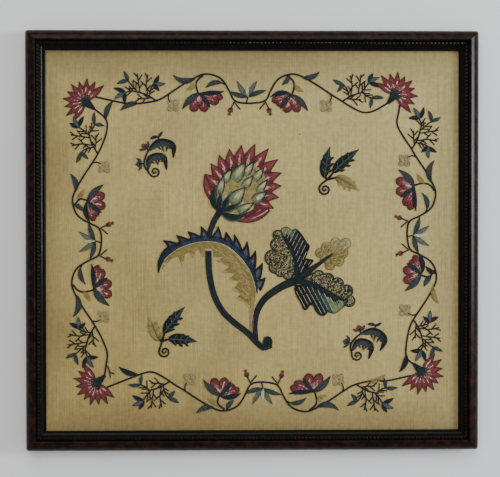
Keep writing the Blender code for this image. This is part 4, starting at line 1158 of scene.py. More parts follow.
def half_vine(row):
    """Points of the vine on the panel, from its fork to the corner flower."""
    points = side_place(row.side, row.half, (row.slide, row.lift))(np.stack([VINE_RUN, vine_rise(row)], axis=1))
    upright = row.side in ("left", "right")
    key = (row.side, row.half)
    if upright:
        key = ("top" if row.half > 0 else "bottom", -1 if row.side == "left" else 1)
    hub_x, hub_y, facing = CORNERS[key]
    inward = direction(facing + 180.0)
    turn = 0.0 if row.meets == "calyx" else 62.0
    turn *= -1 if (not upright) == (inward[0] * inward[1] > 0) else 1
    return np.vstack([points, np.array([hub_x, hub_y]) + direction(facing + 180.0 + turn) * 12.0])


# %% [markdown]
# The vine itself is two rows of stitches in near-black wool. Leaves are filled with long and
# short stitch, and all but the pale ones have a darker thread along an edge. The twigs of the
# bush carry little spurs on both sides, like coral.

# %% Twigs, leaves and buds
FORK_STEMS = (
    ((0.0, 0.0), (3.0, -6.0), (4.5, -10.0)),
    ((0.0, -2.0), (-6.0, -9.0)),
    ((69.0, 8.0), (70.5, 3.0), (68.0, -2.0)),
)
BUSH_STEM = ((0.0, 0.0), (11.0, 6.5), (24.0, 10.0))
BARE_TWIGS = (
    ((9.0, 6.5), (10.5, 17.0), (8.5, 27.5), "none"),
    ((17.0, 9.0), (18.5, 18.0), (20.0, 28.5), "none"),
    ((5.0, 3.0), (12.0, 2.0), (20.0, 2.0), "none"),
)
LEAFY_TWIGS = {
    "triples": (
        ((7.0, 5.0), (5.5, 13.0), (2.5, 18.0), "three_left"),
        ((20.0, 10.0), (25.5, 15.5), (29.5, 21.0), "two_high"),
        ((23.0, 10.0), (28.0, 10.0), (32.5, 8.0), "three_low"),
    ),
    "pairs": (
        ((7.0, 5.0), (5.0, 13.0), (1.0, 18.0), "two_left"),
        ((20.0, 10.0), (24.5, 14.5), (28.0, 20.0), "three_high"),
        ((22.0, 9.0), (26.0, 5.5), (31.0, 3.5), "two_low"),
    ),
}
# angle and length of each leaf at a twig's end
TWIG_LEAVES = {
    "none": (),
    "three_left": ((180.0, 12.5), (122.0, 10.5), (232.0, 10.0)),
    "three_low": ((-30.0, 13.5), (22.0, 13.5), (-88.0, 11.5)),
    "three_high": ((25.0, 13.0), (64.0, 11.0), (-25.0, 13.0)),
    "two_high": ((65.0, 11.0), (-16.0, 12.5)),
    "two_left": ((155.0, 12.0), (230.0, 10.5)),
    "two_low": ((0.0, 13.5), (-98.0, 11.0)),
}
# share along the twig, degrees from its way, length
SPURS = ((0.2, 46, 6.8), (0.4, -44, 8.4), (0.6, 40, 8.0), (0.8, -34, 6.2))


def leaf(work, strip, skein, edge="ink", hands=(-1,), level=0.1):
    """A small leaf: rows of one skein, darker towards the root, with an edge thread."""
    pale = skein in ("cream", "beige", "faded", "ochre")
    root = skein if pale else "slate" if skein in ("sky", "grey") else "deep"
    work.rows(strip, ramp((0.0, root), (0.35, skein), (1.0, skein)), 0.76, 5.0, level)
    if not pale:
        work.rim(strip, plain(edge), 0.62, hands, level + 0.12, 0.06, 0.97)


def twig(work, points, width=TWIG_WIDTH):
    """Stem stitch along a smooth line, in near-black wool."""
    work.line(smooth_line(points, 1.6), plain("ink", "dark"), width, 3.2, 0.05)


def bush(work, root, kind):
    """A stem, bare and leafy twigs with spurs, and leaves in threes and pairs."""
    root = np.asarray(root, dtype=float)
    twig(work, root + np.array(BUSH_STEM), width=TWIG_WIDTH * 1.2)
    for *course, leaves in BARE_TWIGS + LEAFY_TWIGS[kind]:
        course = root + np.array(course)
        twig(work, course)
        strip = Strip(smooth_line(course, 1.6), 0.5)
        last = 1.0 if leaves == "none" else 0.62
        for share, turn, length in SPURS if leaves == "none" else SPURS[:3]:
            foot = strip.at(share * last, 0.0)
            heading = angle_of(strip.at(share * last + 0.05, 0.0) - foot) + turn
            work.line([foot, foot + direction(heading) * length], plain("ink"), 1.2, 3.6, 0.02)
        end = course[-1]
        order = range(len(TWIG_LEAVES[leaves]))
        for number, (angle, length) in sorted(zip(order, TWIG_LEAVES[leaves]), reverse=True):
            triple = leaves.startswith("three")
            skein = ("sky" if number == 0 else "navy") if triple else "slate"
            out = direction(angle)
            strip = blade(end - out, end + out * length, 2.4, 0.06)
            level = 0.3 if number == 0 and triple else 0.1
            leaf(work, strip, skein, "ink", (-1, 1) if triple else (-1,), level)


def bud(work, centre, heading, radius=3.3):
    """A round red bud with three short dark stamens beyond it."""
    work.rows(disc(centre, radius, heading), ramp((0.0, "madder"), (0.4, "red"), (1.0, "rose")), 0.6, 4.0)
    tip = np.asarray(centre) + direction(heading) * (radius - 0.4)
    for turn in (-38.0, 0.0, 38.0):
        work.line([tip, tip + direction(heading + turn) * 3.0], plain("madder"), 0.75, 3.0)


def faded_flower(work, centre):
    """Four round petals whose wool has faded almost to the colour of the linen."""
    for turn in (45.0, 135.0, 225.0, 315.0):
        petal = disc(np.asarray(centre) + direction(turn) * 4.2, 3.7, turn)
        work.rows(petal, plain("faded", "beige"), 1.05, 4.0, -0.12)
        work.rim(petal, plain("faded", "olive"), 0.5, level=-0.05)


# %% What grows on half a side
ARCH_LEAVES = {"long": ((12.5, 19.0), (31.0, 13.5), 2.8, 0.16),
               "short": ((26.0, 27.5), (18.0, 17.0), 2.8, 0.12)}
PEAK_LEAVES = {"long": ((41.0, 24.5), (65.5, 27.5), 3.2, -0.2),
               "short": ((39.0, 25.0), (58.0, 31.0), 3.0, -0.14)}
DIP_TWIGS = (((117.0, 0.0), (124.0, -2.5), (130.0, -3.0)), ((124.0, -2.5), (126.0, -7.5)))


def half_side(work, row):
    """Everything on one half side but its tulip, from the fork to the dip."""
    work.place = side_place(row.side, row.half, (row.slide, row.lift))
    hang, drop = row.hang, row.drop
    odd = (row.side, row.half) == ("right", -1)
    for points in FORK_STEMS:
        twig(work, points)
    bud(work, (4.5, -10.0), -72.0)
    leaf(work, blade(*ARCH_LEAVES[row.kind]), "dark" if odd else "slate")
    if row.kind == "long":
        twig(work, ((8.5, 16.5), (13.5, 19.0)))
    stalk = stem([(hang - 5, 27), (hang + 1.5, 22), (hang + 3, drop + 8), (hang + 0.5, drop - 1)], VINE_WIDTH)
    work.rows(stalk, plain("ink", "deep"), 0.8, 3.6)
    leaf(work, blade((hang + 2.5, drop + 11), (hang + 13, drop + 3), 2.8, -0.1), "slate" if odd else "ochre")
    leaf(work, blade(*PEAK_LEAVES[row.kind]), "ochre" if odd else "slate")
    rise = vine_rise(row)
    bush(work, (row.bush, float(np.interp(row.bush, VINE_RUN, rise))), row.bush_kind)
    faded_flower(work, (65.0, -5.0))
    if row.dip_leaf:
        at = float(np.interp(row.dip_leaf, VINE_RUN, rise))
        strip = blade((row.dip_leaf, at), (row.dip_leaf + 20, at - 8), 2.9, 0.12)
        leaf(work, strip, row.dip_skein, "ink", (-1, 1))
    if row.forked:
        for points in DIP_TWIGS:
            twig(work, np.array(points) + (0, row.dip))


def middle_group(work, side, vine_out):
    """Five leaves fanned over the vine at the middle of a side."""
    work.place = side_place(side, 1)
    foot = np.array([SIDE_MIDDLES[side], vine_out + 6.5])
    twig(work, (foot - (2.0, 6.5), foot))
    for angle, length, half_width, skein in MIDDLE_LEAVES:
        leaf(work, blade(foot, foot + direction(angle) * length, half_width, 0.05), skein)


def border_side(side):
    """One side's vine with all that grows on it, as one mesh."""
    rows = [row for row in HALF_SIDES if row.side == side]
    middle_out = (rows[0].lift + rows[1].lift) / 2 - 2.5
    middle = side_place(side, 1)(np.array([[SIDE_MIDDLES[side], middle_out]]))
    work = Work()
    vine = stem(np.vstack([half_vine(rows[0])[::-1], middle, half_vine(rows[1])]), VINE_WIDTH)
    work.rows(vine, plain("ink", "ink", "dark"), 0.8, 3.8)
    for row in rows:
        half_side(work, row)
    middle_group(work, side, middle_out)
    finish_work(work, f"vine_{side}")


for side in SIDE_MIDDLES:
    border_side(side)
print("stitches so far:", stitched)

# %% [markdown]
# ### Tulips
# Each tulip hangs on its stalk: red petals with round ends, pale where they come out from under the
# sepals, a long sepal over one side, a hooked one over the other, and one across the middle.

# %% Tulips
# root, tip, half width, bend, belly
TULIP_SEPALS = {"long": ((1.0, -0.5), (-27.0, 1.5), 2.6, 0.03, 0.5),
                "short": ((1.0, -0.5), (-22.5, -3.0), 2.7, -0.15, 0.5)}
HOOKED_SEPAL = ((-2.0, -0.5), (17.5, -17.5), 3.5, 0.09, 0.42)
CROSSING_SEPAL = ((0.0, 0.0), (-12.0, -15.5), 2.6, -0.04, 0.5)
# middle of each petal's round end from the stalk, and its radius
TULIP_PETALS = {
    "long": ((-21.5, -4.5, 4.2), (-16.5, -8.5, 5.2), (-9.0, -7.5, 5.2), (-5.5, -15.0, 5.3),
             (5.0, -15.0, 5.3), (0.5, -8.5, 6.0)),
    "short": ((-17.0, -6.0, 4.2), (-11.5, -8.5, 5.2), (-6.0, -6.0, 4.6), (-4.5, -14.5, 5.2),
              (5.5, -14.0, 5.2), (2.5, -7.5, 5.6)),
}


def end_name(side, half):
    """A side and one of its ends, such as top_left or left_high."""
    ends = ("low", "high") if side in ("left", "right") else ("left", "right")
    return f"{side}_{ends[half > 0]}"


def round_petal(centre, radius):
    """A petal from 0.4 of the way to its centre: it widens evenly, then ends in a half circle."""
    centre = np.array(centre)
    root = centre * 0.4
    before = np.linalg.norm(centre - root)
    way = (centre - root) / before
    s = np.linspace(0.0, before + radius, 21)
    round_end = np.sqrt(1.0 - np.clip((s - before) / radius, 0.0, 1.0) ** 2)
    return Strip(root + way * s[:, None], radius * np.clip(0.5 + 0.5 * s / before, 0.0, 1.0) * round_end)


def tulip(row):
    """Round-ended petals, each a little above the one before, then three sepals over them."""
    work = Work(side_place(row.side, row.half, (row.slide + row.hang, row.lift + row.drop)))
    red = ramp((0.0, "pink"), (0.4, "rose"), (0.8, "red"), (1.0, "madder"))
    level = -0.1
    for run, rise, radius in TULIP_PETALS[row.kind]:
        petal = round_petal((run, rise), radius)
        work.rows(petal, streaked(edged(red, "madder", 0.8), "blush", 0.54, 0.5), 0.74, 5.0, level)
        work.rim(petal, plain("madder"), 0.6, level=level + 0.12, first=0.3)
        level += 0.05
    for sepal, inner, hands in ((TULIP_SEPALS[row.kind], "navy", (1,)), (HOOKED_SEPAL, "slate", (-1, 1)),
                                (CROSSING_SEPAL, "teal", (-1, 1))):
        strip = blade(*sepal)
        work.rows(strip, ramp((0.0, "teal"), (0.4, inner), (0.8, inner), (1.0, "navy")), 0.76, 5.0, 0.3)
        work.rim(strip, plain("ink"), 0.6, hands, 0.42)
    finish_work(work, f"tulip_{end_name(row.side, row.half)}")


for row in HALF_SIDES:
    tulip(row)
print("stitches of a tulip:", stitched["tulip_top_left"])

# %% [markdown]
# ### Corner carnations
# Ten pointed petals fan out from a green calyx. Each has a white streak near the calyx, rose
# in the middle and a madder edge, which is how the petals stay apart to the eye.

# %% Carnations
CORNER_PETALS, CORNER_FAN, CORNER_PETAL = 10, 200.0, 25.0


def carnation(name, hub_x, hub_y, facing):
    """Petals at even angles across the fan, 3 mm shorter in the middle, every other one longer."""
    hub = np.array([hub_x, hub_y])
    work = Work()
    red = ramp((0.0, "red"), (0.35, "rose"), (0.8, "red"), (1.0, "madder"))
    for number in range(CORNER_PETALS):
        share = number / (CORNER_PETALS - 1) - 0.5
        angle = facing - share * CORNER_FAN
        length = CORNER_PETAL - 3.0 * math.cos(math.pi * share) + (1.2 if number % 2 else -0.6)
        petal = blade(hub + direction(angle) * 2.5, hub + direction(angle) * length, 4.4, 0.0, 0.42, 0.35)
        shade = streaked(edged(red, "red", 0.6), "white", 0.46, 0.3, 0.14)
        work.rows(petal, shade, 0.76, 5.5, 0.02 * (number % 3))
        work.rim(petal, plain("madder"), 0.6, level=0.16)
    finish_work(work, f"corner_flower_{name}")


def calyx(name, hub_x, hub_y, facing):
    """A swollen cup behind the petals and two small side sepals."""
    hub = np.array([hub_x, hub_y])
    work = Work()
    foot = hub + direction(facing + 180) * 6
    cup = blade(hub + direction(facing + 180) * 13, hub + direction(facing) * 5.0, 5.0, 0.0, 0.62, 0.3)
    for turn in (-38.0, 38.0):
        leaf(work, blade(foot, foot + direction(facing + turn) * 11.0, 2.4), "teal", "deep", (-1, 1), 0.2)
    work.rows(cup, ramp((0.0, "ink"), (0.3, "deep"), (0.8, "teal"), (1.0, "sea")), 0.76, 5.0, 0.3)
    work.rim(cup, plain("ink"), 0.6, level=0.42)
    finish_work(work, f"corner_calyx_{name}")


for (side, half), corner in CORNERS.items():
    carnation(end_name(side, half), *corner)
    calyx(end_name(side, half), *corner)
print("border stitches:", sum(stitched.values()))

# %% [markdown]
# ## The field sprigs
# Two sprigs have hooked leaves like commas, dark on the outside and slate within, and two
# have three veined leaves. Each stands on a stem that curls up at its foot, a line whose
# distance from the curl's middle shrinks evenly as it turns.

# %% Hooked sprigs
def spiral(radius, turns, start_angle, count=36):
    """Place = radius x (1 - 0.86 t) at an angle that grows evenly with t."""
    t = np.linspace(0.0, 1.0, count)
    return direction(start_angle + t * turns * 360.0) * (radius * (1.0 - 0.86 * t))[:, None]


def turned(centre, degrees):
    """Turns sprig millimetres by degrees and moves them to centre."""
    c, s = direction(degrees)
    matrix = np.array([[c, s], [-s, c]])
    return lambda points: points @ matrix + np.asarray(centre, dtype=float)


def crescent(work, line, thick):
    """A hooked leaf: ink on its outer side, slate blue within, and four claws on its inner edge."""
    share = np.linspace(0.0, 1.0, len(line))
    strip = Strip(line, 0.5 + thick / 2 * np.sin(math.pi * share ** 0.8) ** 0.8)
    inner = ramp((0.0, "slate"), (0.5, "slate"), (0.7, "dark"), (1.0, "ink"))
    work.rows(strip, edged(inner, "ink", 0.25, (1,)), 0.76, 5.0, 0.12)
    work.rim(strip, plain("ink"), 0.6, (1,), 0.25)
    for at, reach in ((0.3, 2.0), (0.45, 2.7), (0.6, 2.8), (0.73, 2.2)):
        claw = blade(strip.at(at, -0.2), strip.at(at + 0.05, -reach), 1.9, -0.16, 0.35, 0.8)
        work.rows(claw, ramp((0.0, "slate"), (0.4, "slate"), (0.7, "dark"), (1.0, "ink")), 0.6, 4.0, 0.08)
        work.rim(claw, plain("ink"), 0.5, (-1,), 0.2, 0.4)


def hooked_sprig(number, centre, degrees):
    """A curled stem, two hooked leaves, a red and a blue bud with wings, and two tip leaves."""
    work = Work(turned(centre, degrees))
    curl = spiral(6.2, 1.7, 180.0)
    course = np.vstack([smooth_line([(-6.5, 23), (-10.3, 15), (-11.5, 7), (-8.5, 2), curl[0]], 1.2)[:-1], curl])
    work.rows(Strip(course, 0.85), plain("ink", "dark"), 0.8, 3.4)
    for root, bend, shoulder, tip, thick in (
        ((-7, 22), (5, 31), (19, 28), (19.5, 15), 7.0),
        ((-7, 2), (-5, 14), (9, 16), (12.5, 2), 6.2),
    ):
        crescent(work, smooth_line([root, bend, shoulder, tip], 1.5), thick)
    for stalk, place, radius, skeins in (((-7.0, 23.0), (-11.0, 27.0), 3.4, ("madder", "red", "rose")),
                                         ((-11.3, 9.0), (-17.0, 8.0), 3.6, ("navy", "blue", "sky"))):
        out = np.array(place) - stalk
        twig(work, (stalk, place))
        shade = ramp(*zip((0.0, 0.5, 1.0), skeins))
        work.rows(disc(place, radius, angle_of(out)), shade, 0.62, 4.0)
        out = out / np.linalg.norm(out)
        for hand in (-1, 1):
            tip = place + left_of(out) * hand * 6.5 + out * 1.5
            leaf(work, blade(place - out * 3, tip, 1.7, 0.15 * hand), "slate", level=0.25)
    twig(work, ((4.0, 30), (4.0, 37)))
    leaf(work, blade((4.0, 37), (-5.0, 34.5), 1.9, -0.1), "teal")
    leaf(work, blade((4.0, 36), (8.5, 42.5), 1.9, 0.1), "teal")
    finish_work(work, f"comma_sprig_{number}")


hooked_sprig(1, (-103.5, 73.0), 0.0)
hooked_sprig(2, (111.0, -122.0), -26.0)

# %% Leafy sprigs
LEAFY_SPRIGS = (
    ((76.5, 54.5), (((-0.5, 13.5), (5.5, 45.0), 6.0, "dark"), ((9.5, 18.5), (36.5, 42.5), 6.0, "dark"),
                    ((12.5, 12.5), (37.0, -1.5), 6.0, "pale"))),
    ((-93.5, -117.5), (((-5.5, 12.5), (-16.5, 37.5), 6.0, "pale"), ((0.0, 20.5), (21.5, 47.5), 6.0, "dark"),
                       ((5.0, 13.5), (34.5, 10.5), 6.0, "dark"))),
)


# share of the leaf's length, reach to each side
VEINS = ((0.14, 0.95), (0.36, 1.05), (0.56, 0.85))


def veined_leaf(work, root, tip, half_width, kind):
    """A leaf of fishbone stitch over three pairs of lobes, with pale veins laid on top."""
    root, tip = np.array(root, dtype=float), np.array(tip, dtype=float)
    chord = tip - root
    side = left_of(chord) / np.linalg.norm(chord)
    pale = kind == "pale"
    body = (("olive", "faded", "ochre", "beige"), (0.0, 0.3, 0.7, 1.0)) if pale else (
        ("ink", "deep", "teal", "slate"), (0.0, 0.5, 0.8, 1.0))
    edge, other, vein = ("ochre", "faded", "olive") if pale else ("ink", "dark", "grey")
    pairs = [(root + chord * share, side * hand * half_width * reach, hand)
             for share, reach in VEINS for hand in (-1, 1)]
    for foot, out, hand in pairs:
        lobe = blade(foot, foot + chord * 0.14 + out * 1.15, 2.5, 0.1 * hand)
        work.rows(lobe, plain(edge, other), 0.76, 4.0)
    strip = blade(root - chord * 0.04, tip, half_width, 0.04, 0.36)
    work.fishbone(strip, ramp(*zip(body[1], body[0])), 0.7, 4.0, 0.08)
    for foot, out, _ in pairs:
        work.line([foot, foot + chord * 0.12 + out * 0.85], plain(vein), 0.45, 3.0, 0.42)
    middle = smooth_line([root, root + chord * 0.5 + side * 0.4, root + chord * 0.86], 2.0)
    work.line(middle, plain(vein), 0.5, 3.0, 0.42)


def leafy_sprig(number, centre, leaves):
    """A curled stem whose fork carries three veined leaves on tapered stalks."""
    work = Work(turned(centre, 0.0))
    curl = spiral(6.4, 1.7, 170.0)
    fork = (3.0, 10.5) if leaves[0][0][0] > -2 else (-2.5, 11.5)
    course = np.vstack([smooth_line([fork, (-4.5, 5.0), curl[0]], 1.2)[:-1], curl])
    work.rows(Strip(course, 1.0), plain("ink", "dark"), 0.8, 3.4, 0.05)
    for root, tip, half_width, kind in leaves:
        veined_leaf(work, root, tip, half_width, kind)
        work.rows(stem([fork, root], 2.6, 1.6), plain("ink"), 0.8, 4.0, 0.15)
    finish_work(work, f"leafy_sprig_{number}")


for number, (centre, leaves) in enumerate(LEAFY_SPRIGS, 1):
    leafy_sprig(number, centre, leaves)
print("sprigs:", {name: count for name, count in stitched.items() if "sprig" in name})

# %% [markdown]
# ## The middle branch
# The largest motif is one plant with a flower head, a toothed arching leaf and a bunch of
# patterned leaves. Its main stem is close rows of navy wool, thick enough to stand up from
# the cloth, with a scroll at the foot.

# %% Main stem
# points, width at the start, width at the end
MAIN_STEMS = (
    (((-47.0, -10.5), (-46.8, -25.0), (-45.3, -40.0), (-40.5, -59.0), (-31.0, -76.0), (-18.0, -88.0),
      (-5.0, -98.0), (6.0, -110.0), (13.0, -114.5)), 6.5, 6.0),
    (((12.0, -114.5), (19.0, -112.0), (17.5, -106.0)), 5.0, 5.8),
    (((3.5, -105.0), (2.0, -90.0), (4.5, -75.0), (12.0, -62.0), (25.0, -52.0), (37.0, -45.5),
      (46.0, -42.5)), 5.0, 8.5),
    (((47.0, -42.0), (48.5, -27.0), (45.0, -12.0), (36.5, 3.0)), 7.5, 3.0),
    (((47.0, -40.0), (61.0, -31.0), (73.0, -22.5), (84.5, -14.0)), 9.0, 0.9),
    (((48.0, -42.0), (66.0, -47.2), (80.0, -55.2), (95.0, -63.0)), 7.0, 2.4),
)


def main_stem():
    """Six stretches of close rows with ink sides, a filled scroll and a filled fork."""
    work = Work()
    for points, width, end_width in MAIN_STEMS:
        strip = stem(points, width, end_width)
        work.rows(strip, edged(plain("navy", "teal", "deep"), "ink", 0.7), 0.74, 6.0, 0.12)
    work.rows(disc((15.5, -107.0), 6.0, 90.0), plain("navy", "deep"), 0.7, 5.0, 0.15)
    work.rows(disc((47.5, -41.5), 5.4, 40.0), plain("navy", "deep"), 0.7, 5.0, 0.2)
    eye = spiral(5.2, 1.2, 0.0, 18) + (15.5, -107.0)
    work.line(eye, plain("ink"), 0.7, 3.0, 0.35)
    finish_work(work, "main_stem")


main_stem()
print("stitches of the main stem:", stitched["main_stem"])

# %% [markdown]
# ### Flower head
# Pointed petals stand in a ring round an oval of overlapping scales. The oval is first covered
# with pale wool and then ochre, and the scales are laid over it: cream in the middle,
# blue-green towards the edges and an ink line round the tip. Five dark sepals close round the
# foot.

# %% Flower head: petals and scales
HEAD_CENTRE = np.array((-12.0, 57.0))
OVAL_CENTRE = np.array((-10.5, 55.5))
OVAL_LONG, OVAL_WIDE, HEAD_LEAN = 32.0, 24.5, 48.0
END_PETALS = (((17.0, 34.0), (-17.5, 21.0), 5.4, 0.10), ((-41.0, 42.0), (-51.0, 70.0), 5.6, 0.06))


def oval_point(degrees, scale=1.0):
    """A place on the oval by its angle from the long axis: two axes scaled by cos and sin."""
    axis = direction(HEAD_LEAN)
    turn = direction(degrees) * scale
    return OVAL_CENTRE + turn[..., :1] * OVAL_LONG * axis + turn[..., 1:] * OVAL_WIDE * left_of(axis)


def flower_petals():
    """Twelve petals that sweep towards the lean, and one more at each end of the ring.

    Root angle = tip angle moved a sixth of the way on from the lean, so each petal bends up.
    """
    work = Work()
    red = ramp((0.0, "madder"), (0.3, "red"), (0.5, "rose"), (0.8, "rose"), (1.0, "madder"))
    rim = Strip(oval_point(np.arange(-128.0, 156.0, 6.0), 1.06), 2.8)
    work.slanted(rim, plain("red", "madder"), 0.7, 1.0, -0.05)
    for number in range(12):
        angle = 160.0 - 17.6 * number
        reach = 41.0 + 9.0 * math.exp(-((angle - 52.0) / 38.0) ** 2)
        root = HEAD_CENTRE + direction(angle + 0.16 * (angle - HEAD_LEAN)) * 21.0
        petal = blade(root, HEAD_CENTRE + direction(angle) * reach, 9.4, 0.03, 0.40, 0.8)
        inner = streaked(edged(red, "red", 0.6), "blush", 0.54, 0.3, 0.1)
        work.rows(petal, inner, 0.78, 5.0, 0.03 * (number % 2))
        work.rim(petal, plain("madder"), 0.8, level=0.2, first=0.3)
    for root, tip, half_width, bend in END_PETALS:
        petal = blade(root, tip, half_width, bend, 0.5, 0.5)
        work.rows(petal, streaked(edged(red, "red", 0.5), "blush", 0.5, 0.2, 0.12), 0.78, 5.0, -0.03)
        work.rim(petal, plain("madder"), 0.8, (1,), 0.16)
    finish_work(work, "flower_petals")


SCALES = (
    # root x, root y, tip x, tip y, half width
    (1.0, 64.0, 12.0, 77.5, 4.4), (-10.0, 56.5, 0.5, 69.0, 4.4), (-20.5, 63.5, -7.5, 84.0, 6.4),
    (-31.0, 62.0, -22.0, 76.0, 4.4), (-36.0, 49.0, -30.5, 70.0, 4.0), (0.0, 41.5, 15.5, 52.0, 5.2),
    (-23.0, 40.0, -7.5, 57.0, 6.6), (-16.0, 31.0, 2.0, 40.5, 4.2), (5.0, 51.0, 16.0, 65.5, 3.8),
    (-9.0, 69.5, 2.0, 84.5, 4.0),
)


def flower_scales():
    """A pale layer and a gold one along the lean, then cream scales with sea green sides."""
    work = Work()
    measure = depth_of([outline_edges("flower_scales")])
    for wool, inset, level in ((plain("leaf", "cream", "straw"), 0.6, -0.2),
                               (plain("gold", "ochre", "gold"), 3.8, 0.2)):
        fill_shape(work, measure, (-45.0, 22.0, 24.0, 89.0), HEAD_LEAN, wool, inset=inset, level=level)
    inner = ramp((0.0, "olive"), (0.2, "leaf"), (0.4, "cream"), (0.62, "cream"), (0.8, "grey"), (1.0, "deep"))
    for *places, half_width in SCALES:
        scale = blade(places[:2], places[2:], half_width * 1.35, 0.0, 0.36, 0.5)
        work.rows(scale, edged(edged(inner, "leaf", 0.42), "sea", 0.66), 0.76, 4.0, 0.36)
        work.rim(scale, plain("deep", "teal", "ink"), 1.05, level=0.52, first=0.38)
    finish_work(work, "flower_scales")


def flower_stem():
    """The stem below the head and the five sepals that spring from its top."""
    work = Work()
    foot = np.array((-35.0, 31.0))
    stalk = stem([foot, (-41.0, 21.0), (-45.5, 9.5), (-46.5, 3.5)], 6.4, 5.4)
    work.rows(stalk, edged(plain("teal", "navy"), "ink", 0.72), 0.74)
    for tip_x, tip_y, half_width, bend in (
        (-40.0, 57.5, 3.9, 0.16), (-33.5, 52.0, 3.2, 0.02), (-24.0, 50.0, 3.6, -0.06),
        (-13.0, 41.0, 3.6, -0.08), (-6.0, 29.0, 4.2, -0.20),
    ):
        sepal = blade(foot, (tip_x, tip_y), half_width, bend)
        shade = ramp((0.0, "navy"), (0.3, "deep"), (1.0, "teal"))
        work.rows(sepal, edged(shade, "sea", 0.6, (-1,)), 0.78, 6.0, 0.42)
        work.rim(sepal, plain("ink"), 0.6, (1,), 0.55)
    work.rows(disc(foot, 4.4, 60.0), plain("navy", "deep"), 0.7, 5.0, 0.5)
    finish_work(work, "flower_stem")


flower_petals()
flower_scales()
flower_stem()
print("flower head:", {name: count for name, count in stitched.items() if name.startswith("flower_")})

# %% [markdown]
# ### Toothed leaf and its lining
# The big leaf arches over the stem. Its outer edge is a row of sharp teeth, blue inside and
# almost black at their tips, and its underside is shaded in two ochres that end in ragged
# tongues. A thin pale line runs between the two.

# %% Toothed leaf
ARCH = ((-99.5, -33.5), (-94.0, -20.0), (-83.0, -10.5), (-66.0, -3.0), (-47.0, -0.5), (-30.0, -4.0),
        (-15.0, -15.5), (-4.0, -30.0), (1.5, -44.0), (4.0, -56.5))
TEETH = (
    # tip x, tip y, foot x, foot y
    (-95.0, 0.5, -82.0, -8.5), (-81.0, 6.0, -71.0, -4.0), (-69.0, 10.0, -59.0, -0.5),
    (-55.0, 15.5, -50.0, 1.0), (-36.5, 15.5, -39.0, 0.5), (-28.5, 9.5, -27.0, -4.0),
    (-19.5, 7.0, -17.5, -11.0), (-6.0, -0.5, -10.0, -18.0), (3.0, -10.0, -3.5, -27.0),
    (10.5, -23.5, 2.0, -38.0), (13.5, -39.0, 4.0, -48.0),
)


def toothed_leaf():
    """Teeth from foot to tip, then a band along the arch whose width fades at both ends."""
    work = Work()
    line = smooth_line(ARCH, 2.5)
    share = np.linspace(0.0, 1.0, len(line))
    radii = 0.5 + 2.5 * np.minimum(1.0, share * 13.0) * np.minimum(1.0, (1.0 - share) * 5.0)
    band = Strip(line + across(line) * radii[:, None], radii)
    inner = ramp((0.0, "ink"), (0.15, "navy"), (0.3, "blue"), (0.75, "blue"), (1.0, "navy"))
    pointed = ramp((0.0, "blue"), (0.3, "blue"), (0.55, "navy"), (0.75, "ink"), (1.0, "ink"))
    pointed = edged(streaked(pointed, "sky", 0.55, 0.5, 0.1), "navy", 0.6)
    for number, (*tip, foot_x, foot_y) in enumerate(TEETH):
        tooth = blade((foot_x, foot_y), tip, 7.2, -0.05, 0.42, 1.0)
        work.rows(tooth, pointed, 0.7, 5.0, 0.04 * (number % 2))
        work.rim(tooth, plain("ink"), 0.9, level=0.2, first=0.12)
    end = blade((-76.0, -2.5), (-99.5, -34.0), 4.4, -0.18, 0.5, 0.4)
    work.rows(end, edged(streaked(inner, "slate", 0.7, 0.4, 0.3), "ink", 0.5, (-1,)), 0.72, 5.0, 0.06)
    work.rim(end, plain("ink"), 0.9, (-1,), 0.2, 0.3)
    work.rows(band, edged(inner, "navy", 0.3, (1,)), 0.74, 6.0, 0.1)
    finish_work(work, "toothed_leaf")


LINING_FOOT = (
    (-4.0, -72.0), (-8.5, -65.5), (-18.0, -60.5), (-12.5, -56.0), (-22.5, -52.5), (-14.5, -43.0),
    (-25.5, -41.0), (-19.5, -35.0), (-34.0, -33.0), (-25.0, -27.5), (-38.5, -21.0), (-30.5, -17.0),
    (-41.0, -17.5), (-43.0, -8.5), (-50.0, -8.5), (-52.5, -18.0), (-57.0, -9.5), (-60.0, -10.5),
    (-62.5, -19.5), (-67.0, -12.5), (-71.5, -14.0), (-74.5, -27.5), (-79.0, -17.0), (-84.0, -18.0),
    (-90.0, -23.5), (-97.0, -32.0),
)


def arch_lining():
    """Ochre between the arch and its ragged foot: gold and straw at the rim, darker further in."""
    work = Work()
    arch = smooth_line(ARCH[1:], 2.5)
    edges = polygon(np.vstack([arch - across(arch) * 0.8, [(3.0, -64.0)], LINING_FOOT]))
    measure = depth_of([edges])
    shades = np.array([[SKEINS["gold"], SKEINS["straw"]], [SKEINS["ochre"], SKEINS["ochre"] * 0.9],
                       [SKEINS["ochre"], SKEINS["gold"]]])

    def ochre(places):
        zone = np.digitize(-measure(places) + RANDOM.normal(0.0, 0.3, len(places)), (1.5, 4.6))
        return shades[zone, RANDOM.integers(0, 2, len(places))]
    fill_shape(work, measure, (-100.0, -73.0, 6.0, 0.0), -38.0, ochre, 0.72, 6.5)
    work.line(arch - across(arch) * 0.4, plain("straw", "cream"), 0.8, 4.0, 0.3)
    work.rows(stem([(-0.5, -60.0), (-1.0, -80.0), (-1.5, -97.0)], 4.6, 3.8),
              edged(plain("faded", "beige"), "ochre", 0.6), 0.8, 6.0, 0.0)
    finish_work(work, "arch_lining")


toothed_leaf()
arch_lining()
print("toothed leaf and lining:", stitched["toothed_leaf"], stitched["arch_lining"])

# %% [markdown]
# ### Patterned leaves
# Two half leaves are packed with French knots inside a dark scalloped border; two are striped
# in ink, teal and green with thin pale lines between; and one lobed leaf is ochre with veins
# that spread from its root.

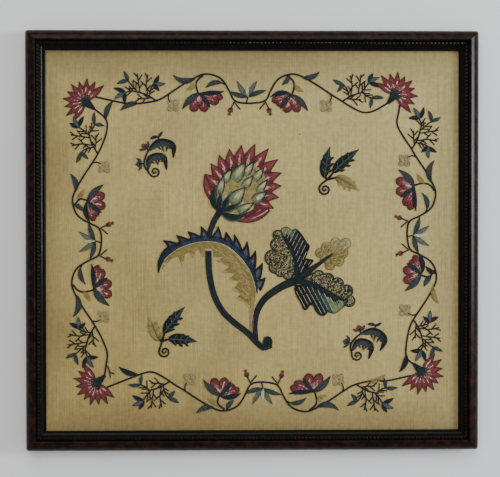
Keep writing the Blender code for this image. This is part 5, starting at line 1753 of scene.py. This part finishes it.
# %% Knotted leaves
KnottedLeaf = namedtuple("KnottedLeaf", "discs core spots")
KNOTTED = {
    "speckled_leaf_upper": KnottedLeaf(
        ((26.5, 6.0, 5.8), (25.5, -4.0, 7.2), (21.0, -18.0, 8.8), (23.5, -28.0, 7.0), (29.5, -32.5, 6.2),
         (37.0, -36.0, 5.6)),
        ((30.0, 8.0), (24.0, 0.0), (22.0, -15.0), (25.0, -28.0), (33.0, -38.0), (41.0, -41.0),
         (45.0, -34.0), (45.5, -24.0), (42.0, -12.0), (38.5, -5.0), (34.5, 1.5)),
        ((26.0, -20.0), (29.0, -3.5))),
    "speckled_leaf_lower": KnottedLeaf(
        ((70.0, -37.0, 6.2), (80.0, -40.5, 6.6), (90.0, -45.5, 6.8), (99.5, -53.5, 7.2), (102.5, -64.0, 6.6)),
        ((52.0, -41.0), (60.0, -44.5), (70.0, -48.5), (81.0, -55.0), (92.0, -61.5), (99.0, -66.0),
         (104.0, -60.0), (97.0, -48.0), (85.0, -38.0), (72.0, -33.0), (64.0, -33.5), (57.0, -37.5)),
        ((75.5, -43.0), (76.5, -42.0))),
}


def knot_places(measure, box, spacing=1.36, inset=2.1):
    """A shifted grid of places inside the shape, each pushed a little at random."""
    x = np.arange(box[0], box[2], spacing)
    y = np.arange(box[1], box[3], spacing * 0.87)
    gx, gy = np.meshgrid(x, y)
    gx = gx + (np.arange(len(y)) % 2)[:, None] * spacing / 2
    places = np.stack([gx.ravel(), gy.ravel()], axis=1) + RANDOM.normal(0.0, 0.14, (gx.size, 2))
    return places[measure(places) < -inset]


def knotted_leaf(node):
    """Dark ground, rings of cream and dark knots round pink spots, stitches laid along the edge."""
    work = Work()
    leaf_shape = KNOTTED[node]
    core = polygon(leaf_shape.core)
    measure = depth_of([core], leaf_shape.discs)
    places = np.vstack([leaf_shape.core, np.array(leaf_shape.discs)[:, :2]])
    box = (*(places.min(axis=0) - 9.0), *(places.max(axis=0) + 9.0))
    fill_shape(work, measure, box, 60.0, plain("olive", "moss", "dark"), 0.85, 4.0, 0.3, -0.12)
    places = knot_places(measure, box)
    spot = np.linalg.norm(places[:, None] - np.array(leaf_shape.spots), axis=-1).min(axis=1)
    ring = np.sin(spot * 1.3 + 1.4 * np.sin(places[:, 0] * 0.45) + 1.4 * np.sin(places[:, 1] * 0.5))
    pick = RANDOM.random(len(places))
    colour = np.where((ring > -0.35)[:, None], SKEINS["cream"], SKEINS["moss"])
    for where, wool in ((pick < 0.16, SKEINS["ink"]), (pick > 0.78, SKEINS["straw"] * 0.75),
                        ((spot < 2.4) & (pick > 0.3), SKEINS["pink"])):
        colour = np.where(where[:, None], wool, colour)
    work.knots(places, 0.60, colour, 0.22)
    for skein, width, inset, level in (("ink", 0.9, 0.4, 0.14), ("deep", 0.8, 1.2, 0.08)):
        scallops(work, leaf_shape.discs, skein, width, inset, level, measure)
        line_edges(work, core, skein, width, inset, level, measure=measure)
    scallops(work, leaf_shape.discs, "grey", 0.45, 1.5, 0.3, measure)
    finish_work(work, node)


for node in KNOTTED:
    knotted_leaf(node)
print("knotted leaves, stitches without knots:", [stitched[node] for node in KNOTTED])

# %% Striped leaves
Striped = namedtuple("Striped", "corners heading rib skeins")
# skeins: from which millimetre across the stripes each skein begins
STRIPES = {
    "striped_leaf_upper": Striped(
        ((50.5, -38.0), (57.5, -30.0), (61.0, -26.0), (64.5, -20.5), (56.5, -18.5), (57.0, -15.5),
         (60.5, -6.0), (57.5, -1.7), (54.0, 4.0), (49.5, 10.0), (45.5, 13.0), (41.5, 11.5), (36.0, 15.0),
         (29.5, 11.5), (34.0, 2.0), (41.5, -10.0), (45.5, -27.0)),
        64.0, ((47.0, -42.0), (48.5, -27.0), (45.0, -12.0), (37.0, 2.5)),
        ((-70.0, "ink"), (-52.0, "navy"), (-46.0, "deep"), (-40.0, "teal"), (-36.5, "sea"), (-33.0, "leaf"))),
    "striped_leaf_lower": Striped(
        ((44.5, -47.0), (44.0, -52.5), (47.0, -60.5), (51.5, -68.0), (53.5, -73.0), (57.0, -73.5),
         (61.0, -68.5), (64.0, -69.5), (66.5, -75.0), (71.5, -79.5), (76.5, -79.5), (80.0, -76.0),
         (86.0, -77.5), (93.0, -73.5), (98.0, -68.5), (95.5, -63.0), (88.0, -61.5), (81.0, -57.0),
         (71.5, -51.0), (60.0, -46.5)),
        -62.0, ((48.0, -42.0), (66.0, -48.0), (80.0, -55.0), (93.0, -62.0)),
        ((0.0, "ink"), (24.0, "deep"), (30.0, "teal"), (36.0, "sea"), (40.5, "leaf"))),
}


def striped_leaf(node):
    """Rows in one direction, their skein chosen by the way across, pale lines between bands."""
    work = Work()
    leaf_shape = STRIPES[node]
    corners = smooth_line([*leaf_shape.corners, leaf_shape.corners[0]], count=3)[:-1]
    edges = polygon(corners)
    measure = depth_of([edges])
    box = (*corners.min(axis=0), *corners.max(axis=0))
    side = direction(leaf_shape.heading + 90.0)
    rib = smooth_line(leaf_shape.rib, 2.0)
    begins = [begin for begin, _ in leaf_shape.skeins]
    table = np.array([SKEINS[skein] for _, skein in leaf_shape.skeins])

    def wool(places):
        band = np.digitize(places @ side + RANDOM.normal(0.0, 0.8, len(places)), begins) - 1
        near = np.linalg.norm(places[:, None] - rib, axis=-1).min(axis=1) < 4.5
        return np.where(near[:, None], SKEINS["navy"], table[np.clip(band, 0, len(table) - 1)])
    fill_shape(work, measure, box, leaf_shape.heading, wool, 0.72, 6.0, 0.2)
    fill_shape(work, measure, box, leaf_shape.heading, lambda places: SKEINS["cream"], 4.1, 9.0, 1.6, 0.34, 0.5)
    line_edges(work, edges, "deep", 0.6, 0.3, 0.12)
    finish_work(work, node)


for node in STRIPES:
    striped_leaf(node)
print("striped leaves:", [stitched[node] for node in STRIPES])

# %% Ochre lobed leaf
OAK_ROOT = np.array((72.0, -22.0))
# middle and radius of each lobe
OAK_LOBES = ((71.0, -13.0, 5.0), (79.0, -7.5, 6.6), (88.0, -1.5, 5.2), (98.5, -3.0, 6.0), (95.0, -12.5, 6.6),
             (91.0, -21.0, 6.4), (82.0, -26.0, 5.4))
PALE_LOBES = np.array(((89.0, 0.0), (100.0, -3.0)))
PALE_REACH = 7.0


def oak_leaf():
    """Rows along the leaf's own length, paler in its last two lobes, with three veins a lobe."""
    work = Work()
    edges = outline_edges("oak_leaf")
    shades = np.array([[SKEINS["ochre"], SKEINS["gold"]], [SKEINS["beige"], SKEINS["straw"]]])

    def pale_at(places):
        return np.linalg.norm(places[:, None] - PALE_LOBES, axis=-1).min(axis=1) < PALE_REACH

    def wool(places):
        return shades[pale_at(places).astype(int), RANDOM.integers(0, 2, len(places))]
    fill_shape(work, depth_of([edges]), (64.0, -34.0, 107.0, 7.0), 31.0, wool, 0.78, 6.0, 0.2)
    line_edges(work, edges, "olive", 0.7, 0.4, 0.16)
    for x, y, radius in OAK_LOBES:
        way = np.array((x, y)) - OAK_ROOT
        tip = OAK_ROOT + way * (1.0 + 0.55 * radius / np.linalg.norm(way))
        for turn in (-9.0, 0.0, 9.0):
            end = turned(OAK_ROOT, turn)(tip - OAK_ROOT)
            begin, skein = (0.72, "leaf") if pale_at(end[None])[0] else (0.45, "olive")
            start = OAK_ROOT + (end - OAK_ROOT) * begin
            work.line([start, (start + end) / 2, end], plain(skein), 0.66, 5.0, 0.3)
    finish_work(work, "oak_leaf")


oak_leaf()
print("all stitches:", sum(stitched.values()))


# %% [markdown]
# ## The stage
# A plain pale floor carries the panel. It isn't part of the object.

# %% Floor
FLOOR_HALF = 3000.0
FLOOR_UP = -0.2


def make_floor():
    """One large square just under the panel, with a faint unevenness of tone."""
    material, tree, shader, place = new_material("pale_floor", Roughness=0.9)
    tone = noise(tree, place, 3.0, 3.0)
    join(tree, shader, Base_Color=blend(tree, tone, linear(240, 241, 243), linear(246, 247, 248)))
    corners = [(x * FLOOR_HALF, y * FLOOR_HALF, FLOOR_UP) for x, y in ((-1, -1), (1, -1), (1, 1), (-1, 1))]
    floor = build_mesh("floor", corners, [np.array([[0, 1, 2, 3]])], material, smooth=False)


make_floor()
print("floor, m:", 2 * FLOOR_HALF * MM)
